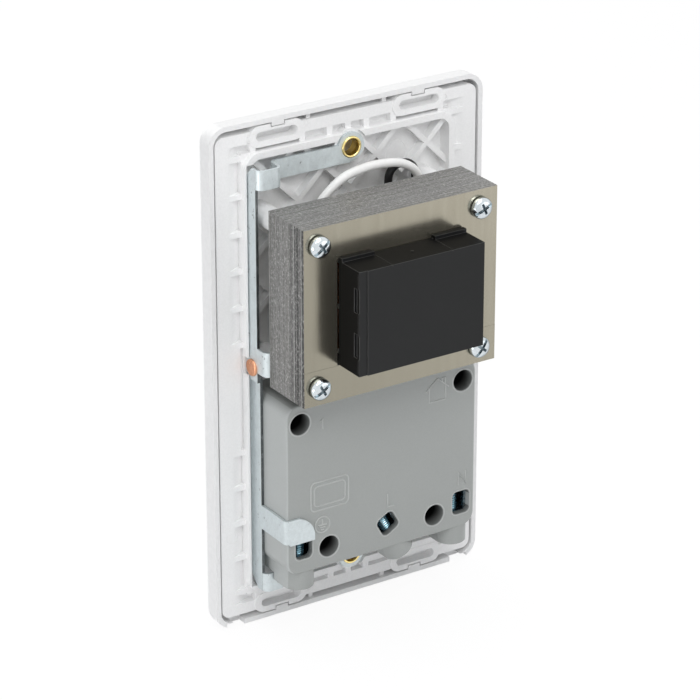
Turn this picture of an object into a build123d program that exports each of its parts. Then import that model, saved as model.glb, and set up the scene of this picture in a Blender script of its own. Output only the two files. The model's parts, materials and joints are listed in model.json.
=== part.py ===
from build123d import *
from math import cos, radians, sin, tan
import os

os.makedirs("parts", exist_ok=True)

# Shaver socket seen from the front: X right, Z up, +Y to the rear, into the wall.
# The wall plane, which the rear edges of the cover touch, is y = 0. All sizes are in millimetres.

# Snap-on front cover
plate_width = 86.0
plate_margin = 12.7
plate_depth = 6.8
plate_corner_r = 5.2
front_wall = 2.2
front_edge_r = 3.0
lip_wall = 1.4
clip_x = 22.0
clip_width = 3.8
clip_reach = 1.1
clip_thick = 1.4
clip_play = 0.3
pry_notch_x = 37.0
pry_notch_width = 5.7
pry_notch_depth = 3.0
rib_spacer_x = 11.9
rib_spacer_width = 1.3
rib_spacer_rear = -1.3
side_spacer_z = 40.5
side_spacer_height = 0.9
spacer_depth = 2.2

# Chassis that the two wall screws hold
side_gap = 0.6
end_gap = 1.6
chassis_corner_r = 2.5
flange_rear = -0.4
floor_rear = -3.0
ring_side_gap = 0.8
ring_margin = 8.6
ring_corner_r = 5.0
ring_wall = 1.8
ring_rear = 1.3
strap_side_rim = 0.6
land_width = 4.0
pocket_depth = 2.0
rib_pitch = 10.53
rib_thick = 1.6
rib_count = 13
cross_rib_x = (0.0, 5.8, 14.3, 29.5)
cross_rib_thick = 1.8
pocket_margin = 6.2
name_panel_top = 9.7
name_panel_bottom = -20.2
name_panel_pocket = 1.2
boss_x = 22.3
boss_margin = 4.75
boss_length = 16.8
boss_height = 5.9
slot_length = 12.7
slot_width = 2.6
slot_depth = 3.2
lattice_pitch = 16.3
lattice_offset_up = 32.5
lattice_offset_down = 31.0
lattice_rear = -0.3
lattice_bottom = 0.5
lattice_thick = 1.5

# Wall fixing eyelets: each clears the transformer above or the housing below,
# which puts their centres 120.6 mm apart, as on a two-gang wall box
core_to_fixing = 8.8
housing_to_fixing = 7.7
eyelet_bore_r = 2.3
eyelet_wall = 0.4
eyelet_rear = 1.6
eyelet_front = -3.6
eyelet_flange_r = 3.0
eyelet_flange_thick = 0.5
eyelet_flare_depth = 1.4
eyelet_boss_r = 4.9
eyelet_hole_play = 0.05

# Transformer core, 60.5 by 50 mm E and I sheets stacked in two groups, one turned end for end
core_x = 0.75
core_width = 60.5
core_bar = 10.0
core_window_height = 30.0
core_bottom = 1.5
core_front = 9.5
core_stack = 17.3
core_front_depth = 10.6
core_group_gap = 0.05
core_screw_inset = 5.0
core_screw_shift = 0.55
core_screw_r = 1.95
core_screw_play = 0.1
core_screw_length = 25.0
core_head_r = 3.0
core_head_height = 2.1
core_head_round = 0.8
recess_length = 4.2
recess_width = 0.8
recess_depth = 1.1
recess_turn = 38.0
core_pillar_r = 3.1

# Coil on the core's middle leg
bobbin_play = 0.25
bobbin_wall = 1.0
bobbin_flange = 1.2
bobbin_flange_step = 0.2
winding_depth = 6.0
winding_play = 0.1
winding_corner_r = 3.0
cover_x = 1.0
cover_wall = 1.2
cover_width = 38.9
cover_height = 29.4
cover_rear_reach = 10.0
cover_front_reach = 9.3
front_cover_width = 37.0
front_cover_wall = 1.0
cover_tab_width = 10.0
cover_tab_height = 1.0
cover_tab_depth = 1.6
cover_flap_width = 2.5
cover_flap_step = 0.35
latch_slot_height = 6.6
latch_slot_depth = 1.3
latch_slot_z = 6.3
latch_slot_from_rear = 2.0
latch_slot_cut = 0.6
fuse_x = -8.0
fuse_length = 10.0
fuse_r = 1.5
fuse_round = 0.4

# Rear housing of the socket
housing_top = -2.5
housing_bottom = -52.6
housing_rear = 16.6
housing_wall = 1.6
housing_rear_wall = 1.8
housing_top_corner_r = 3.6
housing_corner_r = 4.0
housing_edge_r = 0.6
housing_inner_r = 0.9
housing_recess_length = 3.4
screw_upper_x = 26.2
screw_upper_z = -8.0
screw_lower_x = 17.2
screw_lower_z = -46.6
screw_pillar_r = 3.9
screw_boss_r = 2.6
counterbore_r = 3.05
screw_boss_rear = 3.0
screw_web = 2.0
housing_screw_r = 1.4
housing_screw_length = 7.5
housing_head_r = 2.7
housing_head_height = 2.0
screw_play = 0.1
support_rib_x = 14.0
support_rib_thick = 1.2
support_rib_top = -22.5
support_rib_bottom = -33.0

# Terminals: wire entry centre, cage centre and the way its screw leans
terminal_y = 12.0
tower_r = 4.4
tower_end = 12.8
tower_front = 6.8
tower_foot_end = 10.5
tower_bore_r = 2.5
cage_half = 3.2
cage_wall = 0.7
cage_front = 8.6
cage_height = 8.0
terminal_screw_r = 1.75
terminal_screw_top = 1.8
terminal_head_height = 2.2
terminal_head_end = 2.4
entry_corner_r = 1.5
earth_x = 24.4
earth_entry_x = 25.2
earth_entry_width = 5.2
earth_entry_height = 6.5
neutral_x = -25.7
neutral_entry_x = -26.1
neutral_entry_width = 5.6
neutral_entry_height = 6.9
live_x = -1.85
live_entry_side = 5.8
live_lean = 30.0
entry_z = -45.0

# Socket face, shutter and contacts
socket_z = -28.0
pair_x = 14.0
pin_offset = 8.3
pin_slot_length = 7.6
pin_slot_height = 5.6
blade_slot_width = 2.2
blade_slot_height = 7.6
insert_width = 54.4
insert_height = 24.0
insert_corner_r = 2.5
insert_flange = 1.2
insert_flange_height = 27.0
insert_flange_thick = 1.4
insert_play = 0.2
insert_side_play = 0.5
insert_face = 2.0
insert_wall = 1.6
insert_collar = 1.0
shutter_play = 0.35
shutter_plate = 1.8
shutter_top = -14.4
shutter_bottom = -34.8
shutter_travel = 7.0
ramp_width = 6.0
ramp_rear = 6.0
ramp_thick = 1.6
ramp_foot = 3.5
ramp_head = 4.2
rail_thick = 1.2
spring_x = 6.0
spring_y = 2.0
spring_r = 2.0
spring_wire_r = 0.3
spring_turns = 6
spring_gap = 0.3
clip_bore_r = 2.35
clip_sheet = 0.6
clip_front = 8.0
clip_slit = 1.6
tag_z = -21.0
tag_sheet = 0.8
tag_front = 3.6
riser_width = 2.0
riser_front = 9.0
riser_rear = 12.6
bridge_half = 2.3
bridge_sheet = 0.8
bridge_top = -15.0
bridge_height = 3.0
fixed_contact_x = 1.45
fixed_contact_width = 1.7
fixed_contact_gap = 0.3
fixed_contact_top = -21.0
fixed_contact_bottom = -31.5

# Earth strap, 0.8 mm plated steel
strap_sheet = 0.8
strap_pad_r = 4.1
strap_front = 0.3
strap_below = 4.3
strap_above = 1.1
joggle_x = 25.0
corner_rear = 6.6
side_strip_rear = 5.0
side_strip_front = 0.0
lower_strip_front = -0.2
strap_side_play = 0.1
strap_bend_r = 1.6
strap_chamfer_y = 3.0
strap_chamfer_z = 3.2
upper_strap_end = 1.0
overlap_top = 8.0
rivet_y = 2.5
rivet_z = 4.8
rivet_r = 1.2
rivet_head_r = 2.4
rivet_head_height = 0.7
rivet_head_round = 0.5
core_finger_low = 4.0
core_finger_high = 11.0
core_finger_tip_x = 29.9
arm_top = -35.4
arm_bottom = -42.4
rear_tab_end = 22.2
rear_tab_bottom = -42.9
rear_tab_r = 6.2
tongue_low_x = 23.4
tongue_high_x = 26.7
tongue_front = 10.6

# Insulated leads
white_lead_r = 1.2
thin_lead_r = 1.1
lead_y = 5.0
black_lead_y = 2.3
lead_channel_x = -19.6
lead_notch_width = 2.9
lead_notch_play = 0.3
common_lead_x = -4.0
low_lead_x = 16.5
bend_share = 0.45

# Worked out from the sizes above
core_height = core_window_height + 2 * core_bar
core_mid_z = core_bottom + core_height / 2
core_top = core_bottom + core_height
core_rear = core_front + core_stack
core_mid_y = core_front + core_stack / 2
core_rear_depth = core_stack - core_front_depth
core_layers = [
    (core_front, core_front_depth - core_group_gap, -1),
    (core_front + core_front_depth, core_rear_depth - core_group_gap, 1),
]
housing_width = insert_width + 2 * (insert_flange + insert_side_play + housing_wall)
housing_x = housing_width / 2
fixing_z = max(core_top + core_to_fixing, housing_to_fixing - housing_bottom)
plate_height = 2 * (fixing_z + plate_margin)
inner_width = plate_width - 2 * lip_wall
inner_height = plate_height - 2 * lip_wall
chassis_front = front_wall - plate_depth
chassis_width = inner_width - 2 * side_gap
chassis_height = inner_height - 2 * end_gap
ring_x = housing_x + ring_side_gap + ring_wall
ring_z = plate_height / 2 - ring_margin
ring_inner_x = ring_x - ring_wall
ring_inner_z = ring_z - ring_wall
land_x = chassis_width / 2 - land_width
pocket_top_z = plate_height / 2 - pocket_margin
boss_z = plate_height / 2 - boss_margin
eyelet_outer_r = eyelet_bore_r + eyelet_wall
eyelet_flare_r = eyelet_bore_r + eyelet_flare_depth
cover_tab_dx = (cover_width - cover_tab_width) / 2
core_screw_dx = core_width / 2 - core_screw_inset
core_screw_dz = core_height / 2 - core_screw_inset
core_screws = [
    (core_x + core_screw_shift + side * core_screw_dx, core_mid_z + end * core_screw_dz)
    for end in (1, -1)
    for side in (1, -1)
]
housing_cavity_rear = housing_rear - housing_rear_wall
housing_mid_z = (housing_top + housing_bottom) / 2
housing_height = housing_top - housing_bottom
housing_screws = [
    (screw_upper_x, screw_upper_z),
    (-screw_upper_x, screw_upper_z),
    (screw_lower_x, screw_lower_z),
    (-screw_lower_x, screw_lower_z),
]
screw_seat = screw_boss_rear + screw_web
pin_xs = [side * pair_x + hand * pin_offset for side in (-1, 1) for hand in (-1, 1)]
insert_rear = floor_rear + insert_flange_thick
shutter_front = insert_rear + shutter_play
shutter_rear = shutter_front + shutter_plate
shutter_half = insert_width / 2 - shutter_play
shutter_height = shutter_top - shutter_bottom
rail_mid_x = shutter_half + shutter_play + rail_thick / 2
clip_r = clip_bore_r + clip_sheet
clip_top = socket_z + clip_r
fixed_contact_front = shutter_rear + bridge_sheet + fixed_contact_gap
fixed_contact_rear = fixed_contact_front + bridge_sheet
tag_top = tag_z + tag_sheet
strap_high = fixing_z + strap_above
strap_width = strap_above + strap_below
strap_mid_z = strap_high - strap_width / 2
arm_bend_r = housing_edge_r + strap_sheet / 2
lower_strap_inner = housing_x + strap_side_play
lower_strap_outer = lower_strap_inner + strap_sheet
upper_strap_outer = lower_strap_outer + strap_sheet
rear_tab_front = housing_rear + strap_side_play
rear_tab_rear = rear_tab_front + strap_sheet
lead_notch_rear = lead_y + white_lead_r + lead_notch_play


def front_view(y):
    """The plane with X right and Z up at depth y: a negative extrusion from it runs to the rear."""
    return Plane.XZ.offset(-y)


def four(x, z):
    """The four mirrored places of one point, about both axes."""
    return [(side * x, end * z) for end in (1, -1) for side in (1, -1)]


# Front cover: a shallow tray that snaps over the chassis, with a window for the socket face
with BuildPart() as front_plate:
    with BuildSketch(front_view(0)):
        RectangleRounded(plate_width, plate_height, plate_corner_r)
    extrude(amount=plate_depth)
    fillet(front_plate.faces().sort_by(Axis.Y)[0].edges(), front_edge_r)
    with BuildSketch(front_view(0)):
        RectangleRounded(inner_width, inner_height, plate_corner_r - lip_wall)
    extrude(amount=plate_depth - front_wall, mode=Mode.SUBTRACT)
    with BuildSketch(front_view(chassis_front)):
        with Locations((0, socket_z)):
            RectangleRounded(
                insert_width + 2 * insert_play,
                insert_height + 2 * insert_play,
                insert_corner_r + insert_play,
            )
    extrude(amount=front_wall, mode=Mode.SUBTRACT)
    # clips that catch the slotted bosses
    with BuildSketch(front_view(0)):
        with Locations(*four(clip_x, (inner_height - clip_reach) / 2)):
            Rectangle(clip_width, clip_reach)
    extrude(amount=clip_thick)
    # ribs and nubs that centre the chassis in the lip
    with BuildSketch(front_view(rib_spacer_rear)):
        with Locations(*four(rib_spacer_x, (inner_height - end_gap) / 2)):
            Rectangle(rib_spacer_width, end_gap)
        with Locations(*four((inner_width - side_gap) / 2, side_spacer_z)):
            Rectangle(side_gap, side_spacer_height)
    extrude(amount=spacer_depth)
    # two notches in the bottom edge, for prying the cover off
    with BuildSketch(front_view(0)):
        with Locations(*[(side * pry_notch_x, -(plate_height - lip_wall) / 2) for side in (-1, 1)]):
            Rectangle(pry_notch_width, lip_wall)
    extrude(amount=pry_notch_depth, mode=Mode.SUBTRACT)
front_plate.part.label = "front_plate"
export_step(front_plate.part, "parts/front_plate.step")

# Chassis: a flange with a ring wall and a ribbed floor that carries the transformer and the socket
pocket_length = rib_pitch - rib_thick
lowest_rib = -rib_pitch * (rib_count - 1) / 2
pocket_spans = [
    (lowest_rib + rib_pitch * i + rib_thick / 2, pocket_length) for i in range(rib_count - 1)
]
end_pocket_low = -lowest_rib + rib_thick / 2
end_pocket_length = pocket_top_z - end_pocket_low
pocket_spans.append((end_pocket_low, end_pocket_length))
pocket_spans.append((-pocket_top_z, end_pocket_length))
pocket_floor = flange_rear - pocket_depth

with BuildPart() as chassis:
    with BuildSketch(front_view(chassis_front)):
        RectangleRounded(chassis_width, chassis_height, chassis_corner_r)
    extrude(amount=chassis_front - flange_rear)
    with BuildSketch(front_view(chassis_front)):
        with Locations(*four(boss_x, boss_z)):
            SlotOverall(boss_length, boss_height)
    extrude(amount=chassis_front)
    with BuildSketch(front_view(flange_rear)):
        RectangleRounded(2 * ring_x, 2 * ring_z, ring_corner_r)
    extrude(amount=flange_rear - ring_rear)
    with BuildSketch(front_view(floor_rear)):
        RectangleRounded(2 * ring_inner_x, 2 * ring_inner_z, ring_corner_r - ring_wall)
    extrude(amount=floor_rear - ring_rear, mode=Mode.SUBTRACT)
    # the ring is cut down to the flange where the earth strap lies, but for a thin outer rim,
    # and the rim is cut at the strap's rivet
    strap_cut_width = 2 * (ring_wall - strap_side_rim)
    with BuildSketch(front_view(flange_rear)):
        with Locations((ring_x - strap_side_rim - strap_cut_width / 2, 0)):
            Rectangle(strap_cut_width, 2 * (strap_high + strap_side_play))
        with Locations((ring_x - strap_side_rim / 2, rivet_z)):
            Rectangle(strap_side_rim, 2 * (rivet_head_r + strap_side_play))
    extrude(amount=flange_rear - ring_rear, mode=Mode.SUBTRACT)
    # lattice of diagonal ribs on the floor behind the transformer
    with BuildSketch(front_view(floor_rear)):
        for step in range(-4, 5):
            up = lattice_offset_up + step * lattice_pitch
            down = lattice_offset_down + step * lattice_pitch
            with Locations(((core_mid_z - up) / 2, (core_mid_z + up) / 2)):
                Rectangle(3 * core_height, lattice_thick, rotation=45)
            with Locations(((down - core_mid_z) / 2, (down + core_mid_z) / 2)):
                Rectangle(3 * core_height, lattice_thick, rotation=-45)
        with Locations((0, (ring_inner_z + lattice_bottom) / 2)):
            Rectangle(2 * ring_inner_x, ring_inner_z - lattice_bottom, mode=Mode.INTERSECT)
    extrude(amount=floor_rear - lattice_rear)
    # wedge pockets in the flange, beside the ring
    for low, length in pocket_spans:
        with BuildSketch(Plane.XY.offset(low)):
            for side in (1, -1):
                if side < 0 or not name_panel_bottom < low + length / 2 < name_panel_top:
                    Polygon(
                        (side * land_x, flange_rear),
                        (side * ring_x, flange_rear),
                        (side * ring_x, pocket_floor),
                        align=None,
                    )
        extrude(amount=length, mode=Mode.SUBTRACT)
    name_panel_height = name_panel_top - name_panel_bottom
    with BuildSketch(front_view(flange_rear)):
        with Locations((ring_x + name_panel_pocket / 2, (name_panel_top + name_panel_bottom) / 2)):
            Rectangle(name_panel_pocket, name_panel_height)
    extrude(amount=pocket_depth / 2, mode=Mode.SUBTRACT)
    # pockets between the ring and the upper and lower lands
    cross_ribs = zip(cross_rib_x, cross_rib_x[1:])
    end_pocket_z = (ring_z + pocket_top_z) / 2
    boss_pocket_top = boss_z - boss_height / 2
    with BuildSketch(front_view(flange_rear)):
        for left, right in cross_ribs:
            top = boss_pocket_top if left < boss_x < right else pocket_top_z
            with Locations(*four((left + right) / 2, (ring_z + top) / 2)):
                Rectangle(right - left - cross_rib_thick, top - ring_z)
        corner_pocket = ring_x - cross_rib_x[-1] - cross_rib_thick / 2
        with Locations(*four(ring_x - corner_pocket / 2, end_pocket_z)):
            Rectangle(corner_pocket, pocket_top_z - ring_z)
    extrude(amount=pocket_depth, mode=Mode.SUBTRACT)
    # slots in the bosses, and the notches that the cover's clips drop into
    with BuildSketch(front_view(0)):
        with Locations(*four(boss_x, boss_z)):
            SlotOverall(slot_length, slot_width)
    extrude(amount=slot_depth, mode=Mode.SUBTRACT)
    notch_low = inner_height / 2 - clip_reach - clip_play
    notch_high = inner_height / 2
    with BuildSketch(front_view(0)):
        with Locations(*four(clip_x, (notch_low + notch_high) / 2)):
            Rectangle(clip_width + 2 * clip_play, notch_high - notch_low)
    extrude(amount=clip_thick + clip_play, mode=Mode.SUBTRACT)
    # seats of the wall fixing eyelets
    with BuildSketch(front_view(chassis_front)):
        with Locations((0, fixing_z), (0, -fixing_z)):
            Circle(eyelet_boss_r)
    extrude(amount=chassis_front - strap_front)
    with BuildSketch(front_view(strap_front)):
        with Locations((0, fixing_z), (0, -fixing_z)):
            Circle(eyelet_boss_r)
    extrude(amount=strap_front - ring_rear, mode=Mode.SUBTRACT)
    with BuildSketch(front_view(chassis_front)):
        with Locations((0, fixing_z), (0, -fixing_z)):
            Circle(eyelet_outer_r + eyelet_hole_play)
    extrude(amount=chassis_front - strap_front, mode=Mode.SUBTRACT)
    with BuildSketch(front_view(chassis_front)):
        with Locations((0, fixing_z), (0, -fixing_z)):
            Circle(eyelet_flare_r + eyelet_hole_play)
    extrude(amount=chassis_front - eyelet_front - eyelet_flare_depth, mode=Mode.SUBTRACT)
    # pillars of the transformer and bosses of the housing screws, with their pilot holes
    with BuildSketch(front_view(floor_rear)):
        with Locations(*core_screws):
            Circle(core_pillar_r)
    extrude(amount=floor_rear - core_front)
    with BuildSketch(front_view(core_front)):
        with Locations(*core_screws):
            Circle(core_screw_r + screw_play / 2)
    extrude(amount=core_screw_length - core_stack + screw_play, mode=Mode.SUBTRACT)
    with BuildSketch(front_view(floor_rear)):
        with Locations(*housing_screws):
            Circle(screw_boss_r)
    extrude(amount=floor_rear - screw_boss_rear)
    with BuildSketch(front_view(screw_boss_rear)):
        with Locations(*housing_screws):
            Circle(housing_screw_r + screw_play / 2)
    extrude(amount=housing_screw_length - screw_web + screw_play, mode=Mode.SUBTRACT)
    # window for the socket face
    with BuildSketch(front_view(floor_rear)):
        with Locations((0, socket_z)):
            RectangleRounded(
                insert_width + 2 * insert_play,
                insert_height + 2 * insert_play,
                insert_corner_r + insert_play,
            )
    extrude(amount=floor_rear - chassis_front, mode=Mode.SUBTRACT)
chassis.part.label = "chassis"
export_step(chassis.part, "parts/chassis.step")

# Eyelets: brass tubes flared at the front and turned over the strap at the rear
for node, end in (("eyelet_top", 1), ("eyelet_bottom", -1)):
    with BuildPart() as eyelet:
        with BuildSketch(Plane.YZ):
            with BuildLine():
                Polyline(
                    (eyelet_front, end * fixing_z + eyelet_flare_r - eyelet_wall),
                    (eyelet_front + eyelet_flare_depth, end * fixing_z + eyelet_bore_r),
                    (eyelet_rear, end * fixing_z + eyelet_bore_r),
                    (eyelet_rear, end * fixing_z + eyelet_flange_r),
                    (eyelet_rear - eyelet_flange_thick, end * fixing_z + eyelet_flange_r),
                    (eyelet_rear - eyelet_flange_thick, end * fixing_z + eyelet_outer_r),
                    (eyelet_front + eyelet_flare_depth, end * fixing_z + eyelet_outer_r),
                    (eyelet_front, end * fixing_z + eyelet_flare_r),
                    close=True,
                )
            make_face()
        revolve(axis=Axis((0, 0, end * fixing_z), (0, 1, 0)))
    eyelet.part.label = node
    export_step(eyelet.part, f"parts/{node}.step")

# Transformer core: groups of E sheets, each closed by a group of I sheets, turned end for end
with BuildPart() as core_e:
    for layer_front, layer_depth, turned in core_layers:
        with BuildSketch(front_view(layer_front)):
            with Locations((core_x, core_mid_z + turned * core_bar / 2)):
                Rectangle(core_width, core_height - core_bar)
            with Locations((core_x - 1.5 * core_bar, core_mid_z), (core_x + 1.5 * core_bar, core_mid_z)):
                Rectangle(core_bar, core_window_height, mode=Mode.SUBTRACT)
            with Locations(*core_screws):
                Circle(core_screw_r + core_screw_play, mode=Mode.SUBTRACT)
        extrude(amount=-layer_depth)
core_e.part.label = "core_e_laminations"
export_step(core_e.part, "parts/core_e_laminations.step")

with BuildPart() as core_i:
    for layer_front, layer_depth, turned in core_layers:
        with BuildSketch(front_view(layer_front)):
            with Locations((core_x, core_mid_z - turned * (core_height - core_bar) / 2)):
                Rectangle(core_width, core_bar)
            with Locations(*core_screws):
                Circle(core_screw_r + core_screw_play, mode=Mode.SUBTRACT)
        extrude(amount=-layer_depth)
core_i.part.label = "core_i_laminations"
export_step(core_i.part, "parts/core_i_laminations.step")

# Screws that clamp the core to the chassis pillars, with a cross recess in a pan head
for number, (x, z) in enumerate(core_screws, start=1):
    with BuildPart() as core_screw:
        with BuildSketch(front_view(core_rear)):
            with Locations((x, z)):
                Circle(core_head_r)
        extrude(amount=-core_head_height)
        fillet(core_screw.faces().sort_by(Axis.Y)[-1].edges(), core_head_round)
        with BuildSketch(front_view(core_rear)):
            with Locations((x, z)):
                Circle(core_screw_r)
        extrude(amount=core_screw_length)
        with BuildSketch(front_view(core_rear + core_head_height)):
            with Locations((x, z)):
                Rectangle(recess_length, recess_width, rotation=recess_turn)
                Rectangle(recess_width, recess_length, rotation=recess_turn)
        extrude(amount=recess_depth, mode=Mode.SUBTRACT)
    core_screw.part.label = f"transformer_screw_{number}"
    export_step(core_screw.part, f"parts/transformer_screw_{number}.step")

# Bobbin with two chambers that keep the windings apart, round the core's middle leg
bobbin_low = core_mid_z - cover_height / 2 + cover_wall + winding_play
bobbin_high = core_mid_z + cover_height / 2 - cover_wall - winding_play
tube_width = core_bar * 2 + 2 * bobbin_play + 2 * bobbin_wall
tube_depth = core_stack + 2 * bobbin_play + 2 * bobbin_wall
flange_grow = 2 * (winding_depth + bobbin_flange_step)

with BuildPart() as coil_bobbin:
    with BuildSketch(Plane.XY.offset(bobbin_low)):
        with Locations((core_x, core_mid_y)):
            Rectangle(tube_width, tube_depth)
    extrude(amount=bobbin_high - bobbin_low)
    for low in (bobbin_low, core_mid_z - bobbin_flange / 2, bobbin_high - bobbin_flange):
        with BuildSketch(Plane.XY.offset(low)):
            with Locations((core_x, core_mid_y)):
                RectangleRounded(tube_width + flange_grow, tube_depth + flange_grow, winding_corner_r)
        extrude(amount=bobbin_flange)
    with BuildSketch(Plane.XY.offset(bobbin_low)):
        with Locations((core_x, core_mid_y)):
            Rectangle(tube_width - 2 * bobbin_wall, tube_depth - 2 * bobbin_wall)
    extrude(amount=bobbin_high - bobbin_low, mode=Mode.SUBTRACT)
coil_bobbin.part.label = "coil_bobbin"
export_step(coil_bobbin.part, "parts/coil_bobbin.step")

chamber_height = (bobbin_high - bobbin_low - 3 * bobbin_flange) / 2
windings = {
    "primary_winding": bobbin_low + bobbin_flange,
    "secondary_winding": core_mid_z + bobbin_flange / 2,
}
for node, low in windings.items():
    with BuildPart() as winding:
        with BuildSketch(Plane.XY.offset(low + winding_play)):
            with Locations((core_x, core_mid_y)):
                RectangleRounded(
                    tube_width + 2 * winding_depth, tube_depth + 2 * winding_depth, winding_corner_r
                )
                Rectangle(tube_width + 2 * winding_play, tube_depth + 2 * winding_play, mode=Mode.SUBTRACT)
        extrude(amount=chamber_height - 2 * winding_play)
    winding.part.label = node
    export_step(winding.part, f"parts/{node}.step")

# Shrouds over the coil, behind and in front of the core
with BuildPart() as coil_cover_rear:
    with BuildSketch(front_view(core_rear)):
        with Locations((cover_x, core_mid_z)):
            Rectangle(cover_width, cover_height)
    extrude(amount=-cover_rear_reach)
    cover_top = core_mid_z + cover_height / 2
    with BuildSketch(front_view(core_rear)):
        with Locations(
            *[(cover_x + side * cover_tab_dx, cover_top + cover_tab_height / 2) for side in (1, -1)]
        ):
            Rectangle(cover_tab_width, cover_tab_height)
    extrude(amount=-cover_tab_depth)
    # the face is stepped down beside a narrow flap, and two latch slots open in the flap's side
    cover_side = cover_x + cover_width / 2
    cover_end = core_rear + cover_rear_reach
    with BuildSketch(front_view(cover_end)):
        with Locations((cover_side - cover_flap_width / 2, core_mid_z)):
            Rectangle(cover_flap_width, cover_height)
    extrude(amount=cover_flap_step, mode=Mode.SUBTRACT)
    with BuildSketch(Plane.YZ.offset(cover_side)):
        with Locations(
            *[(cover_end - latch_slot_from_rear, core_mid_z + end * latch_slot_z) for end in (1, -1)]
        ):
            Rectangle(latch_slot_depth, latch_slot_height)
    extrude(amount=-latch_slot_cut, mode=Mode.SUBTRACT)
    with BuildSketch(front_view(core_rear)):
        with Locations((cover_x, core_mid_z)):
            Rectangle(cover_width - 2 * cover_wall, cover_height - 2 * cover_wall)
    extrude(amount=cover_wall - cover_rear_reach, mode=Mode.SUBTRACT)
coil_cover_rear.part.label = "coil_cover_rear"
export_step(coil_cover_rear.part, "parts/coil_cover_rear.step")

with BuildPart() as coil_cover_front:
    with BuildSketch(front_view(core_front)):
        with Locations((core_x, core_mid_z)):
            Rectangle(front_cover_width, cover_height)
    extrude(amount=cover_front_reach)
    with BuildSketch(front_view(core_front)):
        with Locations((core_x, core_mid_z)):
            Rectangle(front_cover_width - 2 * front_cover_wall, cover_height - 2 * cover_wall)
    extrude(amount=cover_front_reach - cover_wall, mode=Mode.SUBTRACT)
coil_cover_front.part.label = "coil_cover_front"
export_step(coil_cover_front.part, "parts/coil_cover_front.step")

# Thermal fuse on the front shroud, in line with the black lead
fuse_z = core_mid_z + cover_height / 2 + fuse_r
with BuildPart() as thermal_fuse:
    with BuildSketch(Plane.YZ.offset(fuse_x)):
        with Locations((black_lead_y, fuse_z)):
            Circle(fuse_r)
    extrude(amount=fuse_length)
    fillet(thermal_fuse.edges(), fuse_round)
thermal_fuse.part.label = "thermal_fuse"
export_step(thermal_fuse.part, "parts/thermal_fuse.step")

# Rear housing: a box on the chassis floor with screw pillars, terminal towers and wire entries
entries = {
    "earth": (earth_x, earth_entry_x, earth_entry_width, earth_entry_height, 0.0),
    "live": (live_x, live_x, live_entry_side, live_entry_side, live_lean),
    "neutral": (neutral_x, neutral_entry_x, neutral_entry_width, neutral_entry_height, 0.0),
}
lead_notches = (lead_channel_x, common_lead_x, fixed_contact_x, low_lead_x)


def along(x, lean, y, distance):
    """A point on a terminal's screw axis, this far down from the middle of its wire entry."""
    return (x - distance * sin(radians(lean)), y, entry_z - distance * cos(radians(lean)))


def looking_down(x, lean, y, distance):
    """The plane square to a terminal's screw axis, with its normal down the axis and Y kept."""
    return Plane(
        origin=along(x, lean, y, distance),
        x_dir=(0, 1, 0),
        z_dir=(-sin(radians(lean)), 0, -cos(radians(lean))),
    )


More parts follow.
